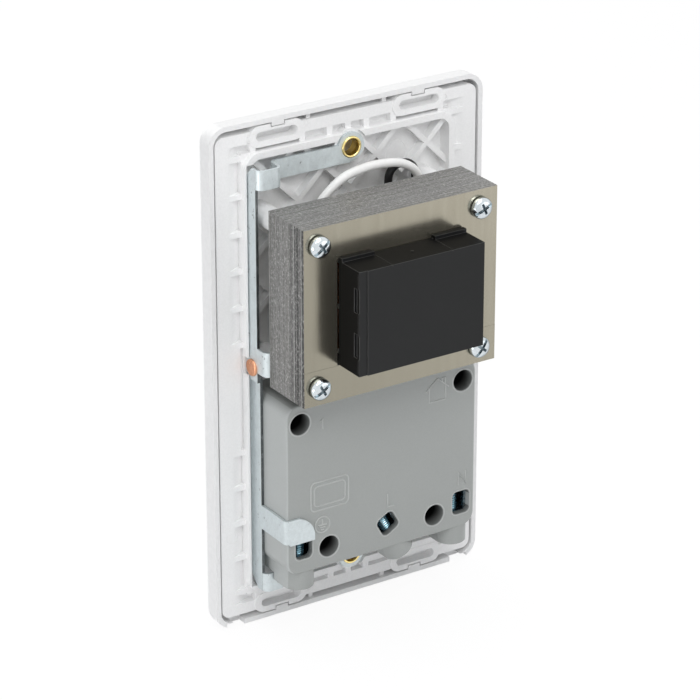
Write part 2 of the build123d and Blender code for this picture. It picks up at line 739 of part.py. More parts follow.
with BuildPart() as rear_housing:
    with BuildSketch(front_view(floor_rear)):
        with Locations((0, housing_mid_z)):
            Rectangle(housing_width, housing_height)
    extrude(amount=floor_rear - housing_rear)
    long_edges = rear_housing.edges().filter_by(Axis.Y)
    fillet(long_edges.group_by(Axis.Z)[-1], housing_top_corner_r)
    fillet(rear_housing.edges().filter_by(Axis.Y).group_by(Axis.Z)[0], housing_corner_r)
    fillet(rear_housing.faces().sort_by(Axis.Y)[-1].edges(), housing_edge_r)
    # towers of the terminal screws, round at the rear, with a flat-sided foot down to the floor
    for cage_x, _, _, _, lean in entries.values():
        with BuildSketch(looking_down(cage_x, lean, terminal_y, 0)):
            Circle(tower_r)
            with Locations(((tower_front - terminal_y) / 2, 0)):
                Rectangle(terminal_y - tower_front, 2 * tower_r)
        extrude(amount=tower_end)
        with BuildSketch(looking_down(cage_x, lean, terminal_y, 0)):
            with Locations(((floor_rear - terminal_y) / 2, 0)):
                Rectangle(terminal_y - floor_rear, 2 * tower_r)
        extrude(amount=tower_foot_end)
    with BuildSketch(front_view(floor_rear)):
        with Locations((0, housing_mid_z)):
            RectangleRounded(
                housing_width - 2 * housing_wall, housing_height - 2 * housing_wall, housing_inner_r
            )
    extrude(amount=floor_rear - housing_cavity_rear, mode=Mode.SUBTRACT)
    # pillars of the four housing screws
    with BuildSketch(front_view(screw_boss_rear)):
        with Locations(*housing_screws):
            Circle(screw_pillar_r)
    extrude(amount=screw_boss_rear - housing_cavity_rear - housing_rear_wall / 2)
    # ribs that stand behind the shutter
    with BuildSketch(front_view(shutter_rear + shutter_play)):
        with Locations(
            *[(side * support_rib_x, (support_rib_top + support_rib_bottom) / 2) for side in (1, -1)]
        ):
            Rectangle(support_rib_thick, support_rib_top - support_rib_bottom)
    extrude(amount=shutter_rear + shutter_play - housing_cavity_rear - housing_rear_wall / 2)
    # screw holes, counterbored from the rear
    with BuildSketch(front_view(housing_rear)):
        with Locations(*housing_screws):
            Circle(counterbore_r)
    extrude(amount=housing_rear - screw_seat, mode=Mode.SUBTRACT)
    with BuildSketch(front_view(screw_seat)):
        with Locations(*housing_screws):
            Circle(housing_screw_r + screw_play)
    extrude(amount=screw_web, mode=Mode.SUBTRACT)
    # bores of the terminal towers and the wire entries
    for cage_x, entry_x, width, height, lean in entries.values():
        with BuildSketch(looking_down(cage_x, lean, terminal_y, cage_height / 2)):
            Circle(tower_bore_r)
        extrude(amount=tower_end - cage_height / 2, mode=Mode.SUBTRACT)
        with BuildSketch(front_view(housing_rear)):
            with Locations(Location((entry_x, entry_z, 0), (0, 0, -lean))):
                RectangleRounded(width, height, entry_corner_r)
        extrude(amount=housing_rear_wall, mode=Mode.SUBTRACT)
    # notches for the leads in the top wall
    with BuildSketch(front_view(floor_rear)):
        with Locations(*[(x, housing_top - housing_wall / 2) for x in lead_notches]):
            Rectangle(lead_notch_width, housing_wall)
    extrude(amount=floor_rear - lead_notch_rear, mode=Mode.SUBTRACT)
rear_housing.part.label = "rear_housing"
export_step(rear_housing.part, "parts/rear_housing.step")

for number, (x, z) in enumerate(housing_screws, start=1):
    with BuildPart() as housing_screw:
        with BuildSketch(front_view(screw_seat)):
            with Locations((x, z)):
                Circle(housing_head_r)
        extrude(amount=-housing_head_height)
        with BuildSketch(front_view(screw_seat)):
            with Locations((x, z)):
                Circle(housing_screw_r)
        extrude(amount=housing_screw_length)
        with BuildSketch(front_view(screw_seat + housing_head_height)):
            with Locations((x, z)):
                Rectangle(housing_recess_length, recess_width)
                Rectangle(recess_width, housing_recess_length)
        extrude(amount=recess_depth, mode=Mode.SUBTRACT)
    housing_screw.part.label = f"housing_screw_{number}"
    export_step(housing_screw.part, f"parts/housing_screw_{number}.step")

# Terminals: a plated cage open to the rear, with a screw that rises into it from below
for name, (cage_x, _, _, _, lean) in entries.items():
    with BuildPart() as terminal:
        with BuildSketch(front_view(cage_front)):
            with Locations(Location((cage_x, entry_z, 0), (0, 0, -lean))):
                Rectangle(2 * cage_half, cage_height)
                Rectangle(2 * (cage_half - cage_wall), cage_height - 2 * cage_wall, mode=Mode.SUBTRACT)
        extrude(amount=cage_front - housing_cavity_rear)
        with BuildSketch(looking_down(cage_x, lean, terminal_y, 0)):
            Circle(terminal_screw_r + screw_play)
        extrude(amount=cage_height, mode=Mode.SUBTRACT)
    terminal.part.label = f"terminal_{name}"
    export_step(terminal.part, f"parts/terminal_{name}.step")

    with BuildPart() as terminal_screw:
        with BuildSketch(looking_down(cage_x, lean, terminal_y, -terminal_screw_top)):
            Circle(terminal_screw_r)
        extrude(amount=terminal_screw_top + tower_end - terminal_head_end - terminal_head_height)
        with BuildSketch(looking_down(cage_x, lean, terminal_y, tower_end - terminal_head_end)):
            Circle(tower_bore_r - screw_play)
        extrude(amount=-terminal_head_height)
        with BuildSketch(looking_down(cage_x, lean, terminal_y, tower_end - terminal_head_end)):
            Rectangle(2 * tower_bore_r, recess_width)
        extrude(amount=-recess_depth, mode=Mode.SUBTRACT)
    terminal_screw.part.label = f"terminal_screw_{name}"
    export_step(terminal_screw.part, f"parts/terminal_screw_{name}.step")

# Socket face: fills the window of the cover, with two pairs of pin openings and rails for the shutter
with BuildPart() as socket_insert:
    with BuildSketch(front_view(-plate_depth)):
        with Locations((0, socket_z)):
            RectangleRounded(insert_width, insert_height, insert_corner_r)
    extrude(amount=-(insert_rear + plate_depth))
    with BuildSketch(front_view(floor_rear)):
        with Locations((0, socket_z)):
            Rectangle(insert_width + 2 * insert_flange, insert_flange_height)
    extrude(amount=-insert_flange_thick)
    with BuildSketch(front_view(insert_face - plate_depth)):
        with Locations((0, socket_z)):
            Rectangle(insert_width - 2 * insert_wall, insert_height - 2 * insert_wall)
    extrude(amount=insert_face - plate_depth - insert_rear, mode=Mode.SUBTRACT)
    # collars round the pin openings
    with BuildSketch(front_view(insert_face - plate_depth)):
        with Locations(*[(x, socket_z) for x in pin_xs]):
            SlotOverall(pin_slot_length + 2 * insert_collar, pin_slot_height + 2 * insert_collar)
            Rectangle(blade_slot_width + 2 * insert_collar, blade_slot_height + 2 * insert_collar)
    extrude(amount=insert_face - plate_depth - insert_rear)
    with BuildSketch(front_view(-plate_depth)):
        with Locations(*[(x, socket_z) for x in pin_xs]):
            SlotOverall(pin_slot_length, pin_slot_height)
            Rectangle(blade_slot_width, blade_slot_height)
    extrude(amount=-(insert_rear + plate_depth), mode=Mode.SUBTRACT)
    # rails beside the shutter
    with BuildSketch(front_view(insert_rear)):
        with Locations(*[(side * rail_mid_x, socket_z) for side in (1, -1)]):
            Rectangle(rail_thick, insert_flange_height)
    extrude(amount=insert_rear - shutter_rear - shutter_play)
socket_insert.part.label = "socket_insert"
export_step(socket_insert.part, "parts/socket_insert.step")

# Shutter: a sliding plate whose ramps close the pin openings until two pins push it down
shutter_mid = (shutter_top + shutter_bottom) / 2
hole_z = socket_z + shutter_travel
ramp_low = socket_z - ramp_foot
ramp_high = socket_z + ramp_head

with BuildPart() as shutter:
    with BuildSketch(front_view(shutter_front)):
        with Locations((0, shutter_mid)):
            Rectangle(2 * shutter_half, shutter_height)
        with Locations(*[(x, (ramp_low + ramp_high) / 2) for x in pin_xs]):
            Rectangle(ramp_width, ramp_high - ramp_low, mode=Mode.SUBTRACT)
        with Locations(*[(x, hole_z) for x in pin_xs]):
            SlotOverall(pin_slot_length + shutter_play, pin_slot_height + shutter_play, mode=Mode.SUBTRACT)
    extrude(amount=-shutter_plate)
    for x in pin_xs:
        with BuildSketch(Plane.YZ.offset(x - ramp_width / 2)):
            Polygon(
                (shutter_front, ramp_low),
                (ramp_rear - ramp_thick, ramp_high),
                (ramp_rear, ramp_high),
                (shutter_rear, ramp_low),
                align=None,
            )
        extrude(amount=ramp_width)
shutter.part.label = "shutter"
export_step(shutter.part, "parts/shutter.step")

# Bridge on the back of the shutter, which joins the two fixed switch contacts when pins are in
with BuildPart() as switch_bridge:
    with BuildSketch(front_view(shutter_rear)):
        with Locations((0, bridge_top - bridge_height / 2)):
            Rectangle(2 * bridge_half, bridge_height)
    extrude(amount=-bridge_sheet)
switch_bridge.part.label = "switch_bridge"
export_step(switch_bridge.part, "parts/switch_bridge.step")

# Fixed switch contacts: the feed comes from the live terminal, the other goes to the primary
for node, side in (("switch_contact_feed", -1), ("switch_contact_primary", 1)):
    with BuildPart() as switch_contact:
        with BuildSketch(Plane.YZ.offset(side * fixed_contact_x - fixed_contact_width / 2)):
            with BuildLine():
                Polyline(
                    (fixed_contact_front, fixed_contact_bottom),
                    (fixed_contact_front, fixed_contact_top),
                    (fixed_contact_rear, fixed_contact_top),
                    (fixed_contact_rear, fixed_contact_bottom + tag_sheet),
                    (housing_cavity_rear, fixed_contact_bottom + tag_sheet),
                    (housing_cavity_rear, fixed_contact_bottom),
                    close=True,
                )
            make_face()
        extrude(amount=fixed_contact_width)
        if side > 0:
            with BuildSketch(Plane.XY.offset(tag_z)):
                with Locations((side * fixed_contact_x, (fixed_contact_front + lead_notch_rear) / 2)):
                    Rectangle(fixed_contact_width, lead_notch_rear - fixed_contact_front)
            extrude(amount=tag_sheet)
    switch_contact.part.label = node
    export_step(switch_contact.part, f"parts/{node}.step")

# Pin contacts: split sleeves with a riser to a soldering tag, the middle pair in common
contacts = {
    "contact_low": ([pin_xs[3]], pin_xs[3], low_lead_x),
    "contact_common": (pin_xs[1:3], common_lead_x, common_lead_x),
    "contact_high": ([pin_xs[0]], pin_xs[0], lead_channel_x),
}
for node, (clips, riser_x, tag_x) in contacts.items():
    with BuildPart() as contact:
        with BuildSketch(front_view(clip_front)):
            with Locations(*[(x, socket_z) for x in clips]):
                Circle(clip_r)
                Circle(clip_bore_r, mode=Mode.SUBTRACT)
                with Locations((0, -clip_r)):
                    Rectangle(clip_slit, 4 * clip_sheet, mode=Mode.SUBTRACT)
        extrude(amount=clip_front - housing_cavity_rear)
        if len(clips) > 1:
            with BuildSketch(front_view(riser_front)):
                with Locations(((clips[0] + clips[1]) / 2, clip_top)):
                    Rectangle(clips[1] - clips[0], clip_sheet)
            extrude(amount=riser_front - riser_rear)
        with BuildSketch(front_view(riser_front)):
            with Locations((riser_x, (clip_top - clip_sheet / 2 + tag_z) / 2)):
                Rectangle(riser_width, tag_z - clip_top + clip_sheet / 2)
        extrude(amount=riser_front - riser_rear)
        tag_low = min(riser_x, tag_x) - riser_width / 2
        tag_high = max(riser_x, tag_x) + riser_width / 2
        with BuildSketch(Plane.XY.offset(tag_z)):
            with Locations(((tag_low + tag_high) / 2, (tag_front + riser_rear) / 2)):
                Rectangle(tag_high - tag_low, riser_rear - tag_front)
        extrude(amount=tag_sheet)
    contact.part.label = node
    export_step(contact.part, f"parts/{node}.step")

# Return spring under the shutter
spring_low = housing_bottom + housing_wall
spring_length = shutter_bottom - spring_gap - spring_low
coil_length = spring_length - 2 * spring_wire_r
with BuildPart() as shutter_spring:
    with BuildLine() as coil_line:
        Helix(
            pitch=coil_length / spring_turns,
            height=coil_length,
            radius=spring_r,
            center=(spring_x, spring_y, spring_low + spring_wire_r),
        )
    with BuildSketch(Plane(origin=coil_line.line @ 0, z_dir=coil_line.line % 0)):
        Circle(spring_wire_r)
    sweep(is_frenet=True)
shutter_spring.part.label = "shutter_spring"
export_step(shutter_spring.part, "parts/shutter_spring.step")

# Earth strap: two bent strips that link the eyelets, the core and the earth terminal
strip_y = strap_front + strap_sheet / 2
corner_y = corner_rear - strap_sheet / 2
strap_halves = {
    "earth_strap_upper": (1, lower_strap_outer, side_strip_front),
    "earth_strap_lower": (-1, lower_strap_inner, lower_strip_front),
}
for node, (end, inner_x, front_y) in strap_halves.items():
    mid_x = inner_x + strap_sheet / 2
    with BuildPart() as strap:
        # the cranked strip from the eyelet to the side strip
        with BuildLine() as crank:
            FilletPolyline(
                (0, strip_y, end * strap_mid_z),
                (joggle_x, strip_y, end * strap_mid_z),
                (joggle_x, corner_y, end * strap_mid_z),
                (mid_x, corner_y, end * strap_mid_z),
                (mid_x, front_y, end * strap_mid_z),
                radius=strap_bend_r,
            )
        with BuildSketch(Plane(origin=crank.line @ 0, x_dir=(0, 1, 0), z_dir=crank.line % 0)):
            Rectangle(strap_sheet, strap_width)
        sweep()
        # the eyelet's pad
        with BuildSketch(front_view(strap_front)):
            with Locations((0, end * fixing_z)):
                Circle(strap_pad_r)
        extrude(amount=-strap_sheet)
        with BuildSketch(front_view(strap_front)):
            with Locations((0, end * fixing_z)):
                Circle(eyelet_outer_r + eyelet_hole_play)
        extrude(amount=-strap_sheet, mode=Mode.SUBTRACT)
        # the side strip, with its outer corner cut off
        strip_end = upper_strap_end if end > 0 else overlap_top
        with BuildSketch(Plane.YZ.offset(inner_x)):
            Polygon(
                (front_y, strip_end),
                (side_strip_rear, strip_end),
                (side_strip_rear, end * strap_high),
                (front_y, end * strap_high),
                align=None,
            )
        extrude(amount=strap_sheet)
        with BuildSketch(Plane.YZ.offset(inner_x)):
            Polygon(
                (front_y, end * (strap_high - strap_chamfer_z)),
                (front_y + strap_chamfer_y, end * strap_high),
                (front_y, end * strap_high),
                align=None,
            )
        extrude(amount=strap_sheet, mode=Mode.SUBTRACT)
        # the rivet's hole
        with BuildSketch(Plane.YZ.offset(inner_x)):
            with Locations((rivet_y, rivet_z)):
                Circle(rivet_r + eyelet_hole_play)
        extrude(amount=strap_sheet, mode=Mode.SUBTRACT)
        if end > 0:
            # spring finger that presses on the front of the core
            finger_mid = (core_finger_low + core_finger_high) / 2
            finger_y = core_front - strap_sheet / 2
            with BuildLine() as finger:
                FilletPolyline(
                    (mid_x, side_strip_rear - strap_sheet, finger_mid),
                    (mid_x, finger_y, finger_mid),
                    (core_finger_tip_x, finger_y, finger_mid),
                    radius=strap_bend_r,
                )
            with BuildSketch(Plane(origin=finger.line @ 0, x_dir=(1, 0, 0), z_dir=finger.line % 0)):
                Rectangle(strap_sheet, core_finger_high - core_finger_low)
            sweep()
        else:
            # arm round the housing's corner, with a tab on its rear and a tongue in the terminal
            arm_mid = (arm_top + arm_bottom) / 2
            tab_y = rear_tab_front + strap_sheet / 2
            with BuildLine() as arm:
                FilletPolyline(
                    (mid_x, side_strip_rear - strap_sheet, arm_mid),
                    (mid_x, tab_y, arm_mid),
                    (tongue_high_x, tab_y, arm_mid),
                    radius=arm_bend_r,
                )
            with BuildSketch(Plane(origin=arm.line @ 0, x_dir=(1, 0, 0), z_dir=arm.line % 0)):
                Rectangle(strap_sheet, arm_top - arm_bottom)
            sweep()
            with BuildSketch(front_view(rear_tab_front)) as tab:
                Polygon(
                    (mid_x - arm_bend_r, arm_top),
                    (rear_tab_end, arm_top),
                    (rear_tab_end, rear_tab_bottom),
                    (mid_x - arm_bend_r, rear_tab_bottom),
                    align=None,
                )
                fillet(tab.vertices().group_by(Axis.X)[0].sort_by(Axis.Y)[-1], rear_tab_r)
            extrude(amount=-strap_sheet)
            with BuildSketch(Plane.XY.offset(rear_tab_bottom)):
                with Locations(((tongue_low_x + tongue_high_x) / 2, (tongue_front + rear_tab_rear) / 2)):
                    Rectangle(tongue_high_x - tongue_low_x, rear_tab_rear - tongue_front)
            extrude(amount=strap_sheet)
    strap.part.label = node
    export_step(strap.part, f"parts/{node}.step")

# Copper rivet that joins the two strips
with BuildPart() as strap_rivet:
    with BuildSketch(Plane.YZ.offset(lower_strap_inner)):
        with Locations((rivet_y, rivet_z)):
            Circle(rivet_r)
    extrude(amount=2 * strap_sheet)
    for x, out in ((upper_strap_outer, 1), (lower_strap_inner, -1)):
        with BuildSketch(Plane.YZ.offset(x)):
            with Locations((rivet_y, rivet_z)):
                Circle(rivet_head_r)
        extrude(amount=out * rivet_head_height)
    fillet(strap_rivet.edges().sort_by(Axis.X)[-1], rivet_head_round)
strap_rivet.part.label = "strap_rivet"
export_step(strap_rivet.part, "parts/strap_rivet.step")

# Insulated leads between the coil, the contacts and the terminals
coil_top = core_mid_z + cover_height / 2
coil_foot = core_mid_z - cover_height / 2
link_y = terminal_y - terminal_screw_r / 2
neutral_cage_top = entry_z + cage_height / 2
straight_leads = {
    "common_lead": common_lead_x,
    "primary_live_lead": fixed_contact_x,
    "low_voltage_lead": low_lead_x,
}
leads = {
    "white_lead": (
        white_lead_r,
        [
            (14.9, lead_y, coil_top),
            (14.9, lead_y, 44.4),
            (11.6, lead_y, 49.4),
            (5.2, lead_y, 54.2),
            (-4.0, lead_y, 55.7),
            (-13.4, lead_y, 54.6),
            (-18.8, lead_y, 50.8),
            (lead_channel_x, lead_y, 43.0),
            (lead_channel_x, lead_y, tag_top),
        ],
    ),
    "black_lead": (
        thin_lead_r,
        [
            (fuse_x, black_lead_y, fuse_z),
            (-11.0, black_lead_y, fuse_z),
            (-11.0, black_lead_y, 53.0),
            (lead_channel_x, black_lead_y, 53.0),
            (lead_channel_x, black_lead_y, -6.2),
            (-16.2, black_lead_y, -10.8),
            (-16.2, link_y, -17.2),
            (-16.2, link_y, -37.4),
            (neutral_x, link_y, -37.4),
            (neutral_x, link_y, neutral_cage_top),
        ],
    ),
    "live_link": (
        thin_lead_r,
        [
            along(live_x, live_lean, link_y, -cage_height / 2),
            along(live_x, live_lean, link_y, -cage_height / 2 - 3.0),
            (-fixed_contact_x, link_y, -35.4),
            (-fixed_contact_x, link_y, fixed_contact_bottom),
        ],
    ),
}
for node, x in straight_leads.items():
    leads[node] = (thin_lead_r, [(x, lead_y, coil_foot), (x, lead_y, tag_top)])


def bend_radii(points):
    """The radius at each corner of a lead: as large as its two straight runs allow."""
    places = [Vector(*point) for point in points]
    radii = []
    for before, corner, after in zip(places, places[1:], places[2:]):
        turn = (corner - before).get_angle(after - corner)
        run = min((corner - before).length, (after - corner).length)
        radii.append(bend_share * run / tan(radians(turn / 2)))
    return radii


for node, (radius, points) in leads.items():
    with BuildPart() as lead:
        with BuildLine() as route:
            if len(points) > 2:
                FilletPolyline(*points, radius=bend_radii(points))
            else:
                Line(*points)
        with BuildSketch(Plane(origin=route.line @ 0, z_dir=route.line % 0)):
            Circle(radius)
        sweep()
    lead.part.label = node
    export_step(lead.part, f"parts/{node}.step")
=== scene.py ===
import json
import math
import random

import bmesh
import bpy
from mathutils import Matrix, Vector
from mathutils.bvhtree import BVHTree
from mathutils.geometry import tessellate_polygon


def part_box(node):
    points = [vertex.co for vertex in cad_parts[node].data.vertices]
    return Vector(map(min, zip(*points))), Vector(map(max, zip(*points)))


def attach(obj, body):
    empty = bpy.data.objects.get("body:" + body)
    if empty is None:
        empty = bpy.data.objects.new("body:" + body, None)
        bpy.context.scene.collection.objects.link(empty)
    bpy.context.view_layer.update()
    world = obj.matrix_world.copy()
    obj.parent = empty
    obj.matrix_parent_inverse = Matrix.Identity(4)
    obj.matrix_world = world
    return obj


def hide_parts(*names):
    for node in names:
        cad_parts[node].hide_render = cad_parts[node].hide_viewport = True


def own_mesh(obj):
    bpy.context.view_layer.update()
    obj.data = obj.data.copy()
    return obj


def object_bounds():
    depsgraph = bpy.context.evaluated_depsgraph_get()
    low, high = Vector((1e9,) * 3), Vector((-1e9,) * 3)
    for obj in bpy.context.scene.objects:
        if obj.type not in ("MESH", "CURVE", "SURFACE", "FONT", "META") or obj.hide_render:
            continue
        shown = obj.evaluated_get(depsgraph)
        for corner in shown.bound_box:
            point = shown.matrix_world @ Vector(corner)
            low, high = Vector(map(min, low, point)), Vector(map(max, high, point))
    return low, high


MM = 0.001
SEED = 20
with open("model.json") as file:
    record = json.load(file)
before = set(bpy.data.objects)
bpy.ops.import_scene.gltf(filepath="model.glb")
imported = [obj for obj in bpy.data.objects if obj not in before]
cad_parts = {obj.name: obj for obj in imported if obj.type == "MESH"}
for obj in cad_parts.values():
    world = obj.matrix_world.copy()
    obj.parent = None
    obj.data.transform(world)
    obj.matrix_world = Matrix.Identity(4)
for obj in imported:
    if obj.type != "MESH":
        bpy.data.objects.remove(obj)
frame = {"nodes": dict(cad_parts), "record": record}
cad_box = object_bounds()
nodes = frame["nodes"]
rng = random.Random(SEED)
collection = bpy.context.scene.collection
slot_of = {part["node"]: part["material_slot"] for part in frame["record"]["subparts"]}
body_of = {n: body for body, members in frame["record"]["behaviour"]["bodies"].items() for n in members}


# Camera, which looks down on the rear from the upper left
AZIMUTH = math.radians(147.067)
ELEVATION = math.radians(23.87)
DISTANCE = 895.56 * MM
TARGET = Vector((12.632, 20.0, 11.626)) * MM
FOCAL_PIXELS = 3393.7
FRAME_PIXELS = 700
SENSOR = 36.0
CLIP_START = 0.01

away = Vector((
    math.sin(AZIMUTH) * math.cos(ELEVATION),
    -math.cos(AZIMUTH) * math.cos(ELEVATION),
    math.sin(ELEVATION),
))
camera_data = bpy.data.cameras.new("camera")
camera_data.sensor_width = SENSOR
camera_data.lens = FOCAL_PIXELS / FRAME_PIXELS * SENSOR
camera_data.clip_start = CLIP_START
camera = bpy.data.objects.new("camera", camera_data)
camera.location = TARGET + away * DISTANCE
camera.rotation_euler = away.to_track_quat("Z", "Y").to_euler()
collection.objects.link(camera)
bpy.context.scene.camera = camera
bpy.context.scene.view_settings.view_transform = "Standard"


# Light: six soft round lamps, each with its place, diameter and power
LAMPS = {
    "key": ((0.55, 0.85, 1.0), 0.45, 2.2),
    "side": ((0.34, 0.12, -0.08), 0.24, 0.46),
    "crown": ((0.02, 0.28, 0.32), 0.2, 0.36),
    "fill": ((-0.45, 0.6, -0.05), 0.5, 0.5),
    "top": ((0.0, 0.05, 1.2), 0.6, 3.4),
    "front": ((0.1, -1.1, 0.5), 0.9, 4.0),
}
for lamp_name, (place, diameter, power) in LAMPS.items():
    lamp_data = bpy.data.lights.new(lamp_name, "AREA")
    lamp_data.shape = "DISK"
    lamp_data.size = diameter
    lamp_data.energy = power
    lamp = bpy.data.objects.new(lamp_name, lamp_data)
    lamp.location = place
    lamp.rotation_euler = (Vector(place) - TARGET).to_track_quat("Z", "Y").to_euler()
    collection.objects.link(lamp)


# Node helpers
def math_node(tree, operation, first, second=None):
    """An arithmetic node of a socket with a second socket or number."""
    node = tree.nodes.new("ShaderNodeMath")
    node.operation = operation
    tree.links.new(first, node.inputs[0])
    if isinstance(second, bpy.types.NodeSocket):
        tree.links.new(second, node.inputs[1])
    elif second is not None:
        node.inputs[1].default_value = second
    return node.outputs["Value"]


def seen_directly(tree):
    """1 for rays from the camera, from a mirror or through glass, and 0 for light on the object."""
    path = tree.nodes.new("ShaderNodeLightPath")
    straight = math_node(tree, "MAXIMUM", path.outputs["Is Camera Ray"], path.outputs["Is Glossy Ray"])
    return math_node(tree, "MAXIMUM", straight, path.outputs["Is Transmission Ray"])


def output_mix(tree, share, first, second, output):
    """Feeds an output node with two shaders: the first at a share of 0, the second at 1."""
    node = tree.nodes.new("ShaderNodeMixShader")
    tree.links.new(share, node.inputs["Fac"])
    tree.links.new(first, node.inputs[1])
    tree.links.new(second, node.inputs[2])
    tree.links.new(node.outputs["Shader"], tree.nodes[output].inputs["Surface"])


# Surround, white where it is seen and softer where it lights the object
WORLD_LIGHT = 0.47
WORLD_TINT = (0.98, 0.99, 1.0, 1)
WHITE = (1, 1, 1, 1)
world = bpy.data.worlds.new("studio")
world.use_nodes = True
bpy.context.scene.world = world
tree = world.node_tree
lit = tree.nodes["Background"]
lit.inputs["Color"].default_value = WORLD_TINT
lit.inputs["Strength"].default_value = WORLD_LIGHT
seen = tree.nodes.new("ShaderNodeBackground")
seen.inputs["Color"].default_value = WHITE
seen.inputs["Strength"].default_value = 1.0
output_mix(tree, seen_directly(tree), lit.outputs["Background"], seen.outputs["Background"], "World Output")

# Floor, just below the object, whose white keeps the object's shadow
FLOOR_HALF = 3.0
FLOOR_DROP = 0.4 * MM
FLOOR_GLOW = 1.04
FLOOR_GLOW_SHARE = 0.88
FLOOR_COLOUR = (0.86, 0.86, 0.87, 1)
floor_z = cad_box[0][2] - FLOOR_DROP
floor_mesh = bpy.data.meshes.new("floor")
floor_mesh.from_pydata(
    [(x * FLOOR_HALF, y * FLOOR_HALF, floor_z) for x, y in ((-1, -1), (1, -1), (1, 1), (-1, 1))],
    [], [(0, 1, 2, 3)],
)
floor = bpy.data.objects.new("floor", floor_mesh)
collection.objects.link(floor)

floor_material = bpy.data.materials.new("floor_white")
floor_material.use_nodes = True
tree = floor_material.node_tree
tree.nodes.remove(tree.nodes["Principled BSDF"])
paper = tree.nodes.new("ShaderNodeBsdfDiffuse")
paper.inputs["Color"].default_value = FLOOR_COLOUR
glow = tree.nodes.new("ShaderNodeEmission")
glow.inputs["Strength"].default_value = FLOOR_GLOW
glow_share = math_node(tree, "MULTIPLY", seen_directly(tree), FLOOR_GLOW_SHARE)
output_mix(tree, glow_share, paper.outputs["BSDF"], glow.outputs["Emission"], "Material Output")
floor.data.materials.append(floor_material)


# Material helpers
def scaled_coordinates(tree, scale):
    """Object coordinates in metres, multiplied per axis."""
    coordinates = tree.nodes.new("ShaderNodeTexCoord")
    mapping = tree.nodes.new("ShaderNodeMapping")
    mapping.inputs["Scale"].default_value = scale
    tree.links.new(coordinates.outputs["Object"], mapping.inputs["Vector"])
    return mapping.outputs["Vector"]


def coordinate(tree, axis):
    """One object coordinate in metres."""
    coordinates = tree.nodes.new("ShaderNodeTexCoord")
    parts = tree.nodes.new("ShaderNodeSeparateXYZ")
    tree.links.new(coordinates.outputs["Object"], parts.inputs["Vector"])
    return parts.outputs[axis]


def noise(tree, cells, detail=3.0, roughness=0.5, distortion=0.0):
    """A noise texture with this many cells in a metre, on every axis or per axis."""
    texture = tree.nodes.new("ShaderNodeTexNoise")
    texture.inputs["Scale"].default_value = 1.0
    texture.inputs["Detail"].default_value = detail
    texture.inputs["Roughness"].default_value = roughness
    texture.inputs["Distortion"].default_value = distortion
    scale = cells if isinstance(cells, tuple) else (cells,) * 3
    tree.links.new(scaled_coordinates(tree, scale), texture.inputs["Vector"])
    return texture.outputs["Fac"]


def ramp(tree, value, stops):
    """A colour ramp over (position, colour) stops."""
    node = tree.nodes.new("ShaderNodeValToRGB")
    elements = node.color_ramp.elements
    while len(elements) < len(stops):
        elements.new(1.0)
    for element, (position, colour) in zip(elements, stops):
        element.position = position
        element.color = (*colour, 1)
    tree.links.new(value, node.inputs["Fac"])
    return node.outputs["Color"]


def map_range(tree, value, low, high, from_low=0.3, from_high=0.7):
    """Turns a value between from_low and from_high into one between low and high."""
    node = tree.nodes.new("ShaderNodeMapRange")
    node.inputs["From Min"].default_value = from_low
    node.inputs["From Max"].default_value = from_high
    node.inputs["To Min"].default_value = low
    node.inputs["To Max"].default_value = high
    tree.links.new(value, node.inputs["Value"])
    return node.outputs["Result"]


def mix(tree, factor, first, second):
    """Blends two colours, each a socket or a plain colour, by a socket or a number."""
    node = tree.nodes.new("ShaderNodeMix")
    node.data_type = "RGBA"
    # A mix node has sockets for every type: 0 is the factor, 6 and 7 the colours, and output 2 the result
    for socket, value in ((node.inputs[0], factor), (node.inputs[6], first), (node.inputs[7], second)):
        if isinstance(value, bpy.types.NodeSocket):
            tree.links.new(value, socket)
        elif isinstance(value, (int, float)):
            socket.default_value = value
        else:
            socket.default_value = (*value, 1)
    return node.outputs[2]


def tinted(tree, base, colour, value, start, end, share=1.0):
    """Mixes a colour into a base as a value goes from start to end, up to a share."""
    return mix(tree, map_range(tree, value, 0.0, share, start, end), base, colour)


def bump(tree, height, distance, strength=1.0, normal=None):
    """A normal tilted by a height, on top of another bump if there is one."""
    node = tree.nodes.new("ShaderNodeBump")
    node.inputs["Distance"].default_value = distance
    node.inputs["Strength"].default_value = strength
    tree.links.new(height, node.inputs["Height"])
    if normal is not None:
        tree.links.new(normal, node.inputs["Normal"])
    return node.outputs["Normal"]


def shade(colour, factor):
    """A colour made darker or paler by a factor."""
    return tuple(max(0.0, min(1.0, value * factor)) for value in colour)


def new_material(name):
    """A material with its node tree and its shader."""
    material = bpy.data.materials.new(name)
    material.use_nodes = True
    tree = material.node_tree
    return material, tree, tree.nodes["Principled BSDF"]


PLASTIC_CLOUD = 28
SPECK_FINENESS = 1.7
SPECK_SHARE = 0.35
SPECK_DARK = 0.94
SPECK_PALE = 1.04
PLASTIC_GLOSS_SPREAD = 0.04


